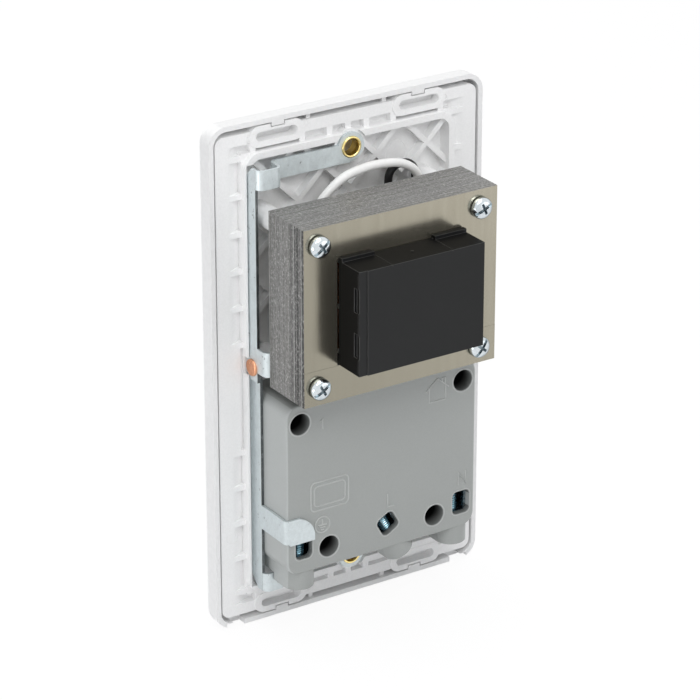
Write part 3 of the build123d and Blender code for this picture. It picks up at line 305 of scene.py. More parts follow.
def plastic(name, colour, roughness, grain=900.0, grain_depth=0.00002, mottle=0.03, specular=0.4):
    """Moulded plastic: faint cloudy colour and a fine spark-eroded grain."""
    material, tree, shader = new_material(name)
    cloud = noise(tree, PLASTIC_CLOUD, detail=4.0, roughness=0.6)
    clouded = ramp(tree, cloud, [(0.3, shade(colour, 1 - mottle)), (0.7, shade(colour, 1 + mottle))])
    speck = noise(tree, grain * SPECK_FINENESS, detail=2.0, roughness=0.5)
    specked = ramp(tree, speck, [(0.35, shade(colour, SPECK_DARK)), (0.65, shade(colour, SPECK_PALE))])
    tree.links.new(mix(tree, SPECK_SHARE, clouded, specked), shader.inputs["Base Color"])
    smoothest = roughness * (1 - PLASTIC_GLOSS_SPREAD)
    roughest = roughness * (1 + PLASTIC_GLOSS_SPREAD)
    tree.links.new(map_range(tree, cloud, smoothest, roughest), shader.inputs["Roughness"])
    shader.inputs["Specular IOR Level"].default_value = specular
    fine = noise(tree, grain, detail=2.0, roughness=0.6)
    tree.links.new(bump(tree, fine, grain_depth), shader.inputs["Normal"])
    return material


TARNISH_FINENESS = 0.6
TARNISH_SHARE = 0.75
RIM_SHADE_BLEND = 0.45
METAL_SMOOTHEST = 0.7
METAL_ROUGHEST = 1.35


def metal(name, colour, roughness, streak=120, spread=0.1, tarnish=None, bump_depth=0.00001, grain=700.0,
          rim=None, metallic=1.0):
    """Plated or bare metal: streaked colour and roughness, tarnish in patches, and painted shade that
    darkens the rim by viewing angle.
    """
    material, tree, shader = new_material(name)
    pattern = noise(tree, streak, detail=5.0, roughness=0.65)
    base = ramp(tree, pattern, [(0.28, shade(colour, 1 - spread)), (0.72, shade(colour, 1 + spread))])
    if tarnish is not None:
        patches = noise(tree, grain * TARNISH_FINENESS, detail=5.0, roughness=0.7)
        base = tinted(tree, base, tarnish, patches, start=0.5, end=0.72, share=TARNISH_SHARE)
    # Painted shade: the rim colour darkens the metal where its surface turns away from the view
    if rim is not None:
        angle = tree.nodes.new("ShaderNodeLayerWeight")
        angle.inputs["Blend"].default_value = RIM_SHADE_BLEND
        base = tinted(tree, base, rim, angle.outputs["Facing"], start=0.35, end=0.8)
    tree.links.new(base, shader.inputs["Base Color"])
    shader.inputs["Metallic"].default_value = metallic
    dulled = map_range(tree, pattern, roughness * METAL_SMOOTHEST, roughness * METAL_ROUGHEST)
    tree.links.new(dulled, shader.inputs["Roughness"])
    fine = noise(tree, grain, detail=3.0, roughness=0.6)
    tree.links.new(bump(tree, fine, bump_depth), shader.inputs["Normal"])
    return material


# Materials of the part: those named as the record's slots, and finer ones for single faces and pieces
PLASTICS = {
    "white_cover": dict(
        colour=(0.87, 0.87, 0.87), roughness=0.3, grain=500, grain_depth=0.000004, mottle=0.006),
    "white_chassis": dict(
        colour=(0.92, 0.92, 0.92), roughness=0.45, grain=1100, grain_depth=0.000008, mottle=0.012),
    "grey_housing": dict(
        colour=(0.38, 0.395, 0.385), roughness=0.42, grain=1500, grain_depth=0.000016, mottle=0.02),
    # A paler copy of the housing grey: painted light on the long sides and their rounded edges
    "grey_side_painted_light": dict(
        colour=(0.47, 0.49, 0.483), roughness=0.42, grain=1500, grain_depth=0.000016, mottle=0.02),
    # A paler copy of the housing grey: painted highlight on the raised symbols and rims
    "grey_mark_painted_highlight": dict(
        colour=(0.50, 0.515, 0.505), roughness=0.36, grain=1500, grain_depth=0.000008, mottle=0.01),
    "black_plastic": dict(
        colour=(0.013, 0.0135, 0.014), roughness=0.34, grain=1300, grain_depth=0.000012, mottle=0.12,
        specular=0.22),
    # A paler copy of the shroud's plastic: painted highlight on its rounded edges and flash lines
    "cover_edge_painted_highlight": dict(
        colour=(0.045, 0.046, 0.045), roughness=0.3, grain=2600, grain_depth=0.00002, mottle=0.5,
        specular=0.6),
    # A blacker, less glossy copy of the shroud's plastic: painted shade on its sides
    "cover_side": dict(
        colour=(0.007, 0.007, 0.007), roughness=0.4, grain=1300, grain_depth=0.000012, mottle=0.12,
        specular=0.05),
    "cream_plastic": dict(colour=(0.70, 0.68, 0.61), roughness=0.4),
    "lead_white": dict(
        colour=(0.92, 0.92, 0.91), roughness=0.34, grain=600, grain_depth=0.000005, mottle=0.012),
    "lead_black": dict(
        colour=(0.014, 0.014, 0.015), roughness=0.32, grain=600, grain_depth=0.00001, mottle=0.1,
        specular=0.3),
    "lead_brown": dict(
        colour=(0.14, 0.06, 0.03), roughness=0.34, grain=600, grain_depth=0.00001, mottle=0.08),
}
# Each metal's rim colour is painted shade, laid on by viewing angle
METALS = {
    "strap_steel": dict(
        colour=(0.66, 0.72, 0.735), roughness=0.36, streak=(700, 700, 500), tarnish=(0.74, 0.80, 0.82),
        bump_depth=0.00002, grain=3200, metallic=0.5),
    "sheared_steel": dict(
        colour=(0.17, 0.185, 0.19), roughness=0.5, streak=(900, 900, 160), spread=0.35,
        tarnish=(0.42, 0.45, 0.46), bump_depth=0.00003, grain=900),
    "zinc_screw": dict(
        colour=(0.68, 0.73, 0.76), roughness=0.17, streak=400, spread=0.12, tarnish=(0.45, 0.53, 0.57),
        bump_depth=0.000008, grain=900, rim=(0.10, 0.13, 0.15)),
    # A darker zinc: on the terminal cages their plating darkened as painted shade of their hollows, and
    # painted shade in the screw recesses
    "zinc_steel": dict(
        colour=(0.30, 0.36, 0.39), roughness=0.26, streak=400, spread=0.2, tarnish=(0.16, 0.22, 0.26),
        bump_depth=0.000012, rim=(0.05, 0.07, 0.09)),
    # Near black zinc: painted shade on the screws deep in the housing's bores
    "bore_screw_painted_shade": dict(colour=(0.03, 0.032, 0.034), roughness=0.4, streak=400, spread=0.2),
    "blue_zinc": dict(
        colour=(0.24, 0.42, 0.50), roughness=0.2, streak=500, spread=0.3, tarnish=(0.62, 0.74, 0.78),
        bump_depth=0.000012, rim=(0.02, 0.05, 0.07)),
    "eyelet_brass": dict(
        colour=(0.93, 0.76, 0.34), roughness=0.2, streak=300, spread=0.08, tarnish=(0.80, 0.62, 0.24),
        bump_depth=0.000008, rim=(0.48, 0.34, 0.10)),
    "contact_brass": dict(colour=(0.76, 0.58, 0.28), roughness=0.3, streak=300),
    "copper": dict(
        colour=(0.80, 0.40, 0.24), roughness=0.32, streak=300, spread=0.12, tarnish=(0.62, 0.27, 0.15),
        bump_depth=0.00002),
    "spring_steel": dict(colour=(0.6, 0.6, 0.6), roughness=0.3),
}
finishes = {name: plastic(name, **look) for name, look in PLASTICS.items()}
finishes.update((name, metal(name, **look)) for name, look in METALS.items())

# Painted shade inside the housing's bores and wire entries: grey at the mouth, near black deeper in
BORE_SHADE_FADE = 4.5 * MM
BORE_MOUTH_SHADE = (0.24, 0.25, 0.245)
BORE_DEEP_SHADE = (0.012, 0.012, 0.012)


def bore_shade_material():
    """Painted shade on the walls of the deep screw holes, whose grey falls to near black below the mouth."""
    material, tree, shader = new_material("bore_painted_shade")
    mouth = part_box("rear_housing")[1][1]
    fall = map_range(tree, coordinate(tree, "Y"), 0.0, 1.0, mouth, mouth - BORE_SHADE_FADE)
    base = ramp(tree, fall, [(0.0, BORE_MOUTH_SHADE), (1.0, BORE_DEEP_SHADE)])
    tree.links.new(base, shader.inputs["Base Color"])
    shader.inputs["Roughness"].default_value = 0.6
    shader.inputs["Specular IOR Level"].default_value = 0.1
    return material


WIRE_RIDGES = 1200
WIRE_RIDGE_DEPTH = 0.0001
WIRE_SHADOW = (0.20, 0.07, 0.03)
WIRE_ENAMEL = (0.72, 0.32, 0.13)


def winding_material():
    """Layers of enamelled wire, each turn a fine ridge round the leg."""
    material, tree, shader = new_material("winding_copper")
    wave = tree.nodes.new("ShaderNodeTexWave")
    wave.wave_type = "BANDS"
    wave.bands_direction = "Z"
    wave.inputs["Scale"].default_value = 1.0
    wave.inputs["Distortion"].default_value = 0.4
    tree.links.new(scaled_coordinates(tree, (WIRE_RIDGES,) * 3), wave.inputs["Vector"])
    ridges = wave.outputs["Fac"]
    tree.links.new(ramp(tree, ridges, [(0.1, WIRE_SHADOW), (0.9, WIRE_ENAMEL)]), shader.inputs["Base Color"])
    shader.inputs["Metallic"].default_value = 0.8
    tree.links.new(map_range(tree, ridges, 0.4, 0.25), shader.inputs["Roughness"])
    tree.links.new(bump(tree, ridges, WIRE_RIDGE_DEPTH), shader.inputs["Normal"])
    return material


# The core's edges are one grey, with darker and paler flecks, and towards the rear the end faces have more
# sheets in a dark tone
SHEET = 0.5 * MM
EDGE_GREY = (0.285, 0.283, 0.276)
EDGE_STAIN = (0.13, 0.129, 0.128)
EDGE_BRIGHT = (0.62, 0.615, 0.60)
EDGE_PIT = (0.07, 0.07, 0.07)
EDGE_RIDGE_DEPTH = 0.00005
EDGE_PIT_DEPTH = 0.00003
EDGE_BUMP = 0.6
REAR_DARK_FROM = 19.5 * MM
REAR_DARK_TO = 22.0 * MM


def sheet_tone(tree):
    """A random tone for each sheet of the stack, from 0 to 1."""
    number = math_node(tree, "FLOOR", math_node(tree, "DIVIDE", coordinate(tree, "Y"), SHEET))
    chance = tree.nodes.new("ShaderNodeTexWhiteNoise")
    chance.noise_dimensions = "1D"
    tree.links.new(number, chance.inputs["W"])
    return chance.outputs["Value"]


def core_edge_material(name, darkest, lightest, rear_dark_share):
    """The stacked edges of the sheets: sheared steel with flecks, each sheet with its own tone."""
    material, tree, shader = new_material(name)
    fleck = noise(tree, (1500, 2100, 1500), detail=4.0, roughness=0.75)
    along_sheet = noise(tree, (160, 2400, 160), detail=3.0, roughness=0.6)
    tone = sheet_tone(tree)
    palest = shade(EDGE_GREY, lightest)
    base = ramp(tree, tone, [(0.0, shade(EDGE_GREY, darkest)), (1.0, palest)])
    if rear_dark_share > 0:
        rear_dark = ramp(tree, tone, [(0.25, shade(EDGE_GREY, 1 - rear_dark_share)), (0.8, palest)])
        base = tinted(tree, base, rear_dark, coordinate(tree, "Y"), start=REAR_DARK_FROM, end=REAR_DARK_TO)
    base = tinted(tree, base, EDGE_STAIN, along_sheet, start=0.50, end=0.72, share=0.45)
    base = tinted(tree, base, EDGE_BRIGHT, fleck, start=0.52, end=0.68, share=0.8)
    base = tinted(tree, base, EDGE_PIT, fleck, start=0.46, end=0.32, share=0.7)
    tree.links.new(base, shader.inputs["Base Color"])
    shader.inputs["Metallic"].default_value = 0.7
    tree.links.new(map_range(tree, fleck, 0.38, 0.6), shader.inputs["Roughness"])
    ridged = bump(tree, along_sheet, EDGE_RIDGE_DEPTH, EDGE_BUMP)
    tree.links.new(bump(tree, fleck, EDGE_PIT_DEPTH, EDGE_BUMP, ridged), shader.inputs["Normal"])
    return material


REFLECTION_FADE_ACROSS = 0.42
REFLECTION_FADE_DOWN = 0.28
ROLLED_DARK = (0.405, 0.375, 0.298)
ROLLED_PALE = (0.455, 0.425, 0.342)
ROLLED_CLOUD = (0.47, 0.44, 0.36)
HANDLING_MARK = (0.36, 0.335, 0.27)
PAINTED_DARK_REFLECTION = (0.26, 0.245, 0.195)
ROLLED_DEPTH = 0.000003
ROLLED_BUMP = 0.4


def painted_reflection_fade(tree):
    """How far the painted reflection darkens: not at all at the upper corner away from the strap, most
    opposite it.
    """
    low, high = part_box("core_e_laminations")
    across = map_range(tree, coordinate(tree, "X"), 0.0, REFLECTION_FADE_ACROSS, low[0], high[0])
    down = map_range(tree, coordinate(tree, "Z"), 0.0, REFLECTION_FADE_DOWN, high[2], low[2])
    return math_node(tree, "ADD", across, down)


def core_face_material():
    """The outer sheet's flat: rolled steel with a warm beige sheen, faint marks of handling, and a painted
    reflection that darkens towards one lower corner.
    """
    material, tree, shader = new_material("core_face")
    rolled = noise(tree, (420, 420, 26), detail=4.0, roughness=0.6)
    cloud = noise(tree, 34, detail=4.0, roughness=0.6)
    mark = noise(tree, 900, detail=4.0, roughness=0.7, distortion=0.6)
    base = ramp(tree, rolled, [(0.3, ROLLED_DARK), (0.7, ROLLED_PALE)])
    base = tinted(tree, base, ROLLED_CLOUD, cloud, start=0.4, end=0.7, share=0.4)
    base = tinted(tree, base, HANDLING_MARK, mark, start=0.55, end=0.75, share=0.3)
    # Painted reflection: the colour darkens towards one lower corner
    base = mix(tree, painted_reflection_fade(tree), base, PAINTED_DARK_REFLECTION)
    tree.links.new(base, shader.inputs["Base Color"])
    shader.inputs["Metallic"].default_value = 0.88
    tree.links.new(map_range(tree, cloud, 0.16, 0.24), shader.inputs["Roughness"])
    tree.links.new(bump(tree, rolled, ROLLED_DEPTH, ROLLED_BUMP), shader.inputs["Normal"])
    return material


core_edges = core_edge_material("core_edges", darkest=0.9, lightest=1.1, rear_dark_share=0.0)
core_ends = core_edge_material("core_ends", darkest=0.72, lightest=1.12, rear_dark_share=0.85)
core_face = core_face_material()
bore_painted_shade = bore_shade_material()
finishes["core_steel"] = core_edges
finishes["winding_copper"] = winding_material()
for node_name, node_object in nodes.items():
    # The housing screws get the near black zinc as painted shade
    finish = "bore_screw_painted_shade" if node_name.startswith("housing_screw") else slot_of[node_name]
    node_object.data.materials.clear()
    node_object.data.materials.append(finishes[finish])


# Helpers for pieces
WELD = 1e-7
SOLID_WELD = 2e-6
FLAT_ANGLE = math.radians(0.4)
SMOOTH_BELOW = 35.0
ROUNDED_SMOOTH_BELOW = 50.0
BEVEL_FROM = 34.0
BEVEL_SEGMENTS = 2
SCREW_NUMBERS = range(1, 5)


def ends(node_name):
    """The lowest and highest corners of a node's box."""
    low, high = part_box(node_name)
    return Vector(low), Vector(high)


def middle(node_name):
    """The middle of a node's box."""
    low, high = ends(node_name)
    return (low + high) / 2


def add_object(name, mesh):
    """A new object in the scene."""
    piece = bpy.data.objects.new(name, mesh)
    collection.objects.link(piece)
    return piece


def built(name, vertices, faces):
    """A new object from vertices and faces, with its normals outward."""
    mesh = bpy.data.meshes.new(name)
    mesh.from_pydata(vertices, [], faces)
    work = bmesh.new()
    work.from_mesh(mesh)
    bmesh.ops.remove_doubles(work, verts=work.verts, dist=WELD)
    bmesh.ops.recalc_face_normals(work, faces=work.faces)
    work.to_mesh(mesh)
    work.free()
    return add_object(name, mesh)


def evaluated_mesh(piece):
    """The mesh that an object's modifiers or curve give."""
    bpy.context.view_layer.update()
    return bpy.data.meshes.new_from_object(piece.evaluated_get(bpy.context.evaluated_depsgraph_get()))


def bake(piece):
    """Applies the object's modifiers to its mesh."""
    mesh = evaluated_mesh(piece)
    piece.modifiers.clear()
    piece.data = mesh


def curve_mesh(name, curve):
    """The mesh of a curve."""
    holder = add_object(name, curve)
    mesh = evaluated_mesh(holder)
    bpy.data.objects.remove(holder)
    return mesh


def poly_spline(curve, points, cyclic):
    """Adds straight runs through (x, y, z) points to a curve."""
    spline = curve.splines.new("POLY")
    spline.points.add(len(points) - 1)
    for spline_point, point in zip(spline.points, points):
        spline_point.co = (*point, 1)
    spline.use_cyclic_u = cyclic


def smooth_by_angle(mesh, degrees=SMOOTH_BELOW):
    """Smooth shading, but for edges sharper than this."""
    sharp_from = math.radians(degrees)
    work = bmesh.new()
    work.from_mesh(mesh)
    for face in work.faces:
        face.smooth = True
    for edge in work.edges:
        edge.smooth = len(edge.link_faces) == 2 and edge.calc_face_angle(0) < sharp_from
    work.to_mesh(mesh)
    work.free()


def dress(piece, material, carrier):
    """Gives a piece its material, and the body of the node that carries it."""
    piece.data.materials.clear()
    piece.data.materials.append(material)
    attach(piece, body_of[carrier])


def cut(piece, cutter):
    """Takes one closed piece out of another."""
    modifier = piece.modifiers.new("cut", "BOOLEAN")
    modifier.operation = "DIFFERENCE"
    modifier.solver = "EXACT"
    modifier.object = cutter
    bake(piece)
    bpy.data.objects.remove(cutter)


def block(name, centre, size, turn=None):
    """A box for cutting, turned about its centre."""
    matrix = Matrix.Translation(centre) @ (turn or Matrix.Identity(4))
    corners = [
        matrix @ Vector((x * size[0] / 2, y * size[1] / 2, z * size[2] / 2))
        for x in (-1, 1) for y in (-1, 1) for z in (-1, 1)
    ]
    faces = [(0, 1, 3, 2), (4, 6, 7, 5), (0, 4, 5, 1), (2, 3, 7, 6), (0, 2, 6, 4), (1, 5, 7, 3)]
    return built(name, corners, faces)


def rounded(piece, width, angle=BEVEL_FROM):
    """Rounds the sharp edges of a piece, and keeps its flats flat in the shading."""
    rounding = piece.modifiers.new("rounding", "BEVEL")
    rounding.width = width
    rounding.segments = BEVEL_SEGMENTS
    rounding.limit_method = "ANGLE"
    rounding.angle_limit = math.radians(angle)
    rounding.use_clamp_overlap = True
    rounding.miter_outer = "MITER_ARC"
    bake(piece)
    smooth_by_angle(piece.data, ROUNDED_SMOOTH_BELOW)
    flats = piece.modifiers.new("flats", "WEIGHTED_NORMAL")
    flats.mode = "FACE_AREA"
    flats.weight = 100
    flats.keep_sharp = True
    bake(piece)


def copied(node_name):
    """A copy of a node's solid, with the triangles of each flat joined."""
    mesh = nodes[node_name].data.copy()
    if mesh.has_custom_normals:
        mesh.attributes.remove(mesh.attributes["custom_normal"])
    work = bmesh.new()
    work.from_mesh(mesh)
    bmesh.ops.remove_doubles(work, verts=work.verts, dist=SOLID_WELD)
    bmesh.ops.dissolve_limit(
        work, angle_limit=FLAT_ANGLE, use_dissolve_boundaries=False, verts=work.verts, edges=work.edges
    )
    work.to_mesh(mesh)
    work.free()
    return add_object(node_name + "_dressed", mesh)


def axis_frame(origin, direction):
    """The matrix that puts local Z along a direction, at an origin."""
    return Matrix.Translation(origin) @ Vector(direction).to_track_quat("Z", "Y").to_matrix().to_4x4()


def around(matrix, radius, height, count):
    """Points of a circle about local Z."""
    turns = [2 * math.pi * i / count for i in range(count)]
    return [matrix @ Vector((radius * math.cos(turn), radius * math.sin(turn), height)) for turn in turns]


def band(lower, upper, count):
    """The faces between two rings of points, given by the number of each ring's first point."""
    return [(lower + i, lower + (i + 1) % count, upper + (i + 1) % count, upper + i) for i in range(count)]


def revolved(name, matrix, profile, segments, closed=False):
    """A solid turned from (radius, height) points about local Z."""
    vertices = []
    for radius, height in profile:
        vertices += around(matrix, radius, height, segments)
    rings = len(profile)
    faces = []
    for ring in range(rings if closed else rings - 1):
        faces += band(ring * segments, (ring + 1) % rings * segments, segments)
    return built(name, vertices, faces)


def arc(centre_r, centre_h, radius, start, end, count):
    """Points of a profile along an arc, with its angles in degrees."""
    turns = [math.radians(start + (end - start) * i / count) for i in range(count + 1)]
    return [(centre_r + radius * math.cos(t), centre_h + radius * math.sin(t)) for t in turns]


# Mouldings and sheet parts whose form stays, with rounded edges
def dressed(node_name, width, cutters):
    """A node's solid, cut and rounded, in place of the node."""
    piece = copied(node_name)
    for cutter in cutters:
        cut(piece, cutter)
    rounded(piece, width)
    dress(piece, finishes[slot_of[node_name]], node_name)
    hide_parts(node_name)
    return piece


COVER_GROOVE = 0.22 * MM
COVER_TAB = 10.0 * MM
COVER_TAB_HEIGHT = 1.0 * MM
GROOVE_SHIFT = 0.5 * MM
EDGE_SLOPE = 0.95
cover_low, cover_high = ends("coil_cover_rear")
cover_middle = middle("coil_cover_rear")
cover_top = cover_high.z - COVER_TAB_HEIGHT


def cover_grooves():
    """The lines across the top of the rear shroud, in from each of its two tabs."""
    size = (COVER_GROOVE, cover_high.y - cover_low.y, 2 * COVER_GROOVE)
    places = (cover_low.x + COVER_TAB, cover_high.x - COVER_TAB)
    return [block("groove", (x, cover_middle.y + GROOVE_SHIFT, cover_top), size) for x in places]


ROUNDING = {
    "coil_cover_rear": 0.16 * MM,
    "coil_cover_front": 0.2 * MM,
    "front_plate": 0.12 * MM,
    "chassis": 0.1 * MM,
    "rear_housing": 0.2 * MM,
    "earth_strap_upper": 0.07 * MM,
    "earth_strap_lower": 0.07 * MM,
}
mouldings = {}
for node_name, width in ROUNDING.items():
    cutters = cover_grooves() if node_name == "coil_cover_rear" else []
    mouldings[node_name] = dressed(node_name, width, cutters)

# The shroud's sides get a blacker, less glossy copy of its plastic as painted shade, and its rounded edges a
# paler one as painted highlight
cover = mouldings["coil_cover_rear"]
cover.data.materials.append(finishes["cover_side"])
cover.data.materials.append(finishes["cover_edge_painted_highlight"])
for face in cover.data.polygons:
    if max(abs(component) for component in face.normal) < EDGE_SLOPE:
        face.material_index = 2
    elif abs(face.normal.y) < EDGE_SLOPE:
        face.material_index = 1

# The mould's injection point on the top of the rear shroud
PIP_RADIUS = 0.45 * MM
PIP_SIDES = 20
PIP_PROFILE = (
    (PIP_RADIUS, -0.05 * MM), (PIP_RADIUS, 0.12 * MM), (PIP_RADIUS * 0.6, 0.16 * MM), (0, 0.08 * MM),
)
pip_frame = axis_frame((cover_middle.x, cover_middle.y, cover_top), (0, 0, 1))
pip = revolved("cover_pip", pip_frame, PIP_PROFILE, PIP_SIDES)
smooth_by_angle(pip.data)
dress(pip, finishes["black_plastic"], "coil_cover_rear")

# The bores and wire entries of the housing get painted shade below their mouths, and its two long sides and
# their rounded edges are painted paler as painted light
BORE_SHADE_REACH = 3.2 * MM
ENTRY_SHADE_REACH = 4.6 * MM
MOUTH = 0.25 * MM
WALL_SLOPE = 0.7
LIT_SIDE_FROM = 28.5 * MM
LIT_SIDE_SLOPE = 0.3
housing = mouldings["rear_housing"]
housing_middle = middle("rear_housing").x
housing_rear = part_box("rear_housing")[1][1]
painted_shade_axes = [(middle(f"housing_screw_{n}"), BORE_SHADE_REACH) for n in SCREW_NUMBERS]
painted_shade_axes += [(middle(f"terminal_{name}"), ENTRY_SHADE_REACH) for name in ("earth", "live", "neutral")]
housing.data.materials.append(bore_painted_shade)
housing.data.materials.append(finishes["grey_side_painted_light"])
for face in housing.data.polygons:
    centre = face.center
    # Painted light: the long sides and their rounded edges get the paler grey
    if abs(centre.x - housing_middle) > LIT_SIDE_FROM and abs(face.normal.x) > LIT_SIDE_SLOPE:
        face.material_index = 2
    if centre.y > housing_rear - MOUTH or abs(face.normal.y) > WALL_SLOPE:
        continue
    # Painted shade on the walls inside each bore and wire entry
    if any(math.hypot(centre.x - axis.x, centre.z - axis.z) < reach for axis, reach in painted_shade_axes):
        face.material_index = 1

# The sheared rear edges of the strap are darker and rougher than its plated faces
STRAP_SHEET = 0.8 * MM
THIN_WITHIN = 1.3 * STRAP_SHEET
REAR_FACING = 0.7
RAY_START = 1e-6


def widest_spot(mesh, face):
    """The middle of the largest triangle of a face, which is never in a hole."""
    corners = [mesh.vertices[i].co for i in face.vertices]
    triangles = [[corners[i] for i in three] for three in tessellate_polygon([corners])]
    largest = max(triangles, key=lambda three: (three[1] - three[0]).cross(three[2] - three[0]).length)
    return sum(largest, Vector()) / 3


def surface_of(mesh):
    """The mesh's faces, ready for casting rays at them."""
    return BVHTree.FromPolygons([v.co for v in mesh.vertices], [p.vertices for p in mesh.polygons])


for node_name in ("earth_strap_upper", "earth_strap_lower"):
    mesh = mouldings[node_name].data
    mesh.materials.append(finishes["sheared_steel"])
    hull = surface_of(mesh)
    for face in mesh.polygons:
        if face.normal.y < REAR_FACING:
            continue
        inward = -face.normal
        hit = hull.ray_cast(widest_spot(mesh, face) + inward * RAY_START, inward, THIN_WITHIN)
        if hit[0] is None:
            face.material_index = 1

# Transformer core: single sheets in two stacks, the front stack turned end for end
CORE_BAR = 10.0 * MM
FRONT_STACK = 10.6 * MM
STACK_SLACK = 0.1 * MM
SHEET_GAP = 0.012 * MM
SHEET_STRAY = 0.035 * MM
BOLT_HOLE = 2.05 * MM
BOLT_HOLE_SIDES = 20
SQUARE_ON = 0.9


def sheet_mesh(outline, holes):
    """A flat sheet in X and Z, half a millimetre thick, with round holes."""
    curve = bpy.data.curves.new("sheet", "CURVE")
    curve.dimensions = "2D"
    curve.fill_mode = "BOTH"
    curve.extrude = (SHEET - SHEET_GAP) / 2
    poly_spline(curve, [(x, z, 0) for x, z in outline], True)
    turns = [2 * math.pi * i / BOLT_HOLE_SIDES for i in range(BOLT_HOLE_SIDES)]
    for x, z in holes:
        rim = [(x + BOLT_HOLE * math.cos(turn), z + BOLT_HOLE * math.sin(turn), 0) for turn in turns]
        poly_spline(curve, rim, True)
    mesh = curve_mesh("sheet", curve)
    mesh.transform(Matrix.Rotation(math.pi / 2, 4, "X"))
    return mesh


def laminations():
    """The sheets of both nodes of the core, each sheet a little out of line."""
    low, high = ends("core_e_laminations")
    i_low, i_high = ends("core_i_laminations")
    bottom = min(low.z, i_low.z)
    top = max(high.z, i_high.z)
    mid_x = (low.x + high.x) / 2
    mid_z = (bottom + top) / 2
    half = (high.x - low.x) / 2
    reach = (top - bottom) / 2
    leg = reach - CORE_BAR
    inner = CORE_BAR
    outer = 2 * CORE_BAR
    e_shape = (
        (-half, -leg), (-half, reach), (half, reach), (half, -leg), (outer, -leg), (outer, leg),
        (inner, leg), (inner, -leg), (-inner, -leg), (-inner, leg), (-outer, leg), (-outer, -leg),
    )
    i_shape = ((-half, -reach), (half, -reach), (half, -leg), (-half, -leg))
    screws = [middle(f"transformer_screw_{n}") for n in SCREW_NUMBERS]
    holes = [(screw.x - mid_x, screw.z - mid_z) for screw in screws]
    e_sheets = bmesh.new()
    i_sheets = bmesh.new()
    y = low.y + SHEET / 2
    while y + SHEET / 2 < high.y + STACK_SLACK:
        end = -1 if y < low.y + FRONT_STACK else 1
        for sheets, shape, side in ((e_sheets, e_shape, end), (i_sheets, i_shape, -end)):
            outline = [(x, z * end) for x, z in shape]
            mesh = sheet_mesh(outline, [hole for hole in holes if hole[1] * side > 0])
            stray = Vector((rng.uniform(-1, 1), 0, rng.uniform(-1, 1))) * SHEET_STRAY
            mesh.transform(Matrix.Translation(Vector((mid_x, y, mid_z)) + stray))
            sheets.from_mesh(mesh)
            bpy.data.meshes.remove(mesh)
        y += SHEET
    for name, sheets in (("core_e_laminations", e_sheets), ("core_i_laminations", i_sheets)):
        mesh = bpy.data.meshes.new(name + "_sheets")
        sheets.to_mesh(mesh)
        sheets.free()
        stack = add_object(name + "_sheets", mesh)
        dress(stack, core_edges, name)
        stack.data.materials.append(core_face)
        stack.data.materials.append(core_ends)
        for face in stack.data.polygons:
            if abs(face.normal.y) > SQUARE_ON:
                face.material_index = 1
            elif abs(face.normal.x) > SQUARE_ON:
                face.material_index = 2
            else:
                face.material_index = 0
            face.use_smooth = False
        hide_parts(name)


laminations()

# Screws of the transformer: domed pan heads with a cross recess and a slot
SHANK_RADIUS = 1.95 * MM
SHANK_TAPER = 1.5 * MM
SHANK_TIP = 0.6
HEAD_SLOT = 0.85 * MM
HEAD_SLOT_DEPTH = 0.75 * MM
CROSS_LENGTH = 3.3 * MM
CROSS_WIDTH = 0.75 * MM
CROSS_DEPTH = 1.5 * MM
HEAD_ROUNDING = 0.07 * MM
HEAD_BEVEL_FROM = 50.0
HEAD_SUNK = 0.22
DOME_STEP = 0.15
DOME_EDGE = 0.95
HEAD_SIDES = 56
# The outline of the head, as shares of its full radius and height
HEAD_PROFILE = (
    (0.90, 0.0), (1.0, 0.08), (1.0, 0.42), (0.965, 0.60), (0.86, 0.78), (0.66, 0.91), (0.38, 0.98), (0, 1.0),
)
SCREW_TURNS = {1: 38.0, 2: 24.0, 3: 31.0, 4: 52.0}


def pan_screw(number, turn):
    """A transformer screw, whose recess gets a darker zinc than its head as painted shade."""
    name = f"transformer_screw_{number}"
    low, high = ends(name)
    centre = middle(name)
    head_radius = (high.x - low.x) / 2
    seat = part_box("core_e_laminations")[1][1]
    head_height = high.y - seat
    length = seat - low.y
    profile = [
        (0, -length), (SHANK_RADIUS * SHANK_TIP, -length), (SHANK_RADIUS, -length + SHANK_TAPER),
        (SHANK_RADIUS, 0),
    ]
    profile += [(r * head_radius, h * head_height) for r, h in HEAD_PROFILE]
    place = Vector((centre.x, seat, centre.z))
    piece = revolved(name + "_turned", axis_frame(place, (0, 1, 0)), profile, HEAD_SIDES)
    spin = Matrix.Rotation(math.radians(turn), 4, "Y")
    quarter = Matrix.Rotation(math.radians(turn + 90), 4, "Y")
    top = Vector((place.x, high.y, place.z))
    cut(piece, block("slot", top, (3 * head_radius, 2 * HEAD_SLOT_DEPTH, HEAD_SLOT), spin))
    for arm in (spin, quarter):
        cut(piece, block("cross", top, (CROSS_LENGTH, 2 * CROSS_DEPTH, CROSS_WIDTH), arm))
    rounded(piece, HEAD_ROUNDING, angle=HEAD_BEVEL_FROM)
    dress(piece, finishes["zinc_screw"], name)
    piece.data.materials.append(finishes["zinc_steel"])
    # Painted shade: faces sunk below the dome get the darker zinc
    for face in piece.data.polygons:
        radius = math.hypot(face.center.x - place.x, face.center.z - place.z) / head_radius
        dome = max(h for r, h in HEAD_PROFILE if r >= radius - DOME_STEP) if radius < DOME_EDGE else 0
        if face.center.y < seat + (dome - HEAD_SUNK) * head_height:
            face.material_index = 1
    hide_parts(name)


for number, turn in SCREW_TURNS.items():
    pan_screw(number, turn)

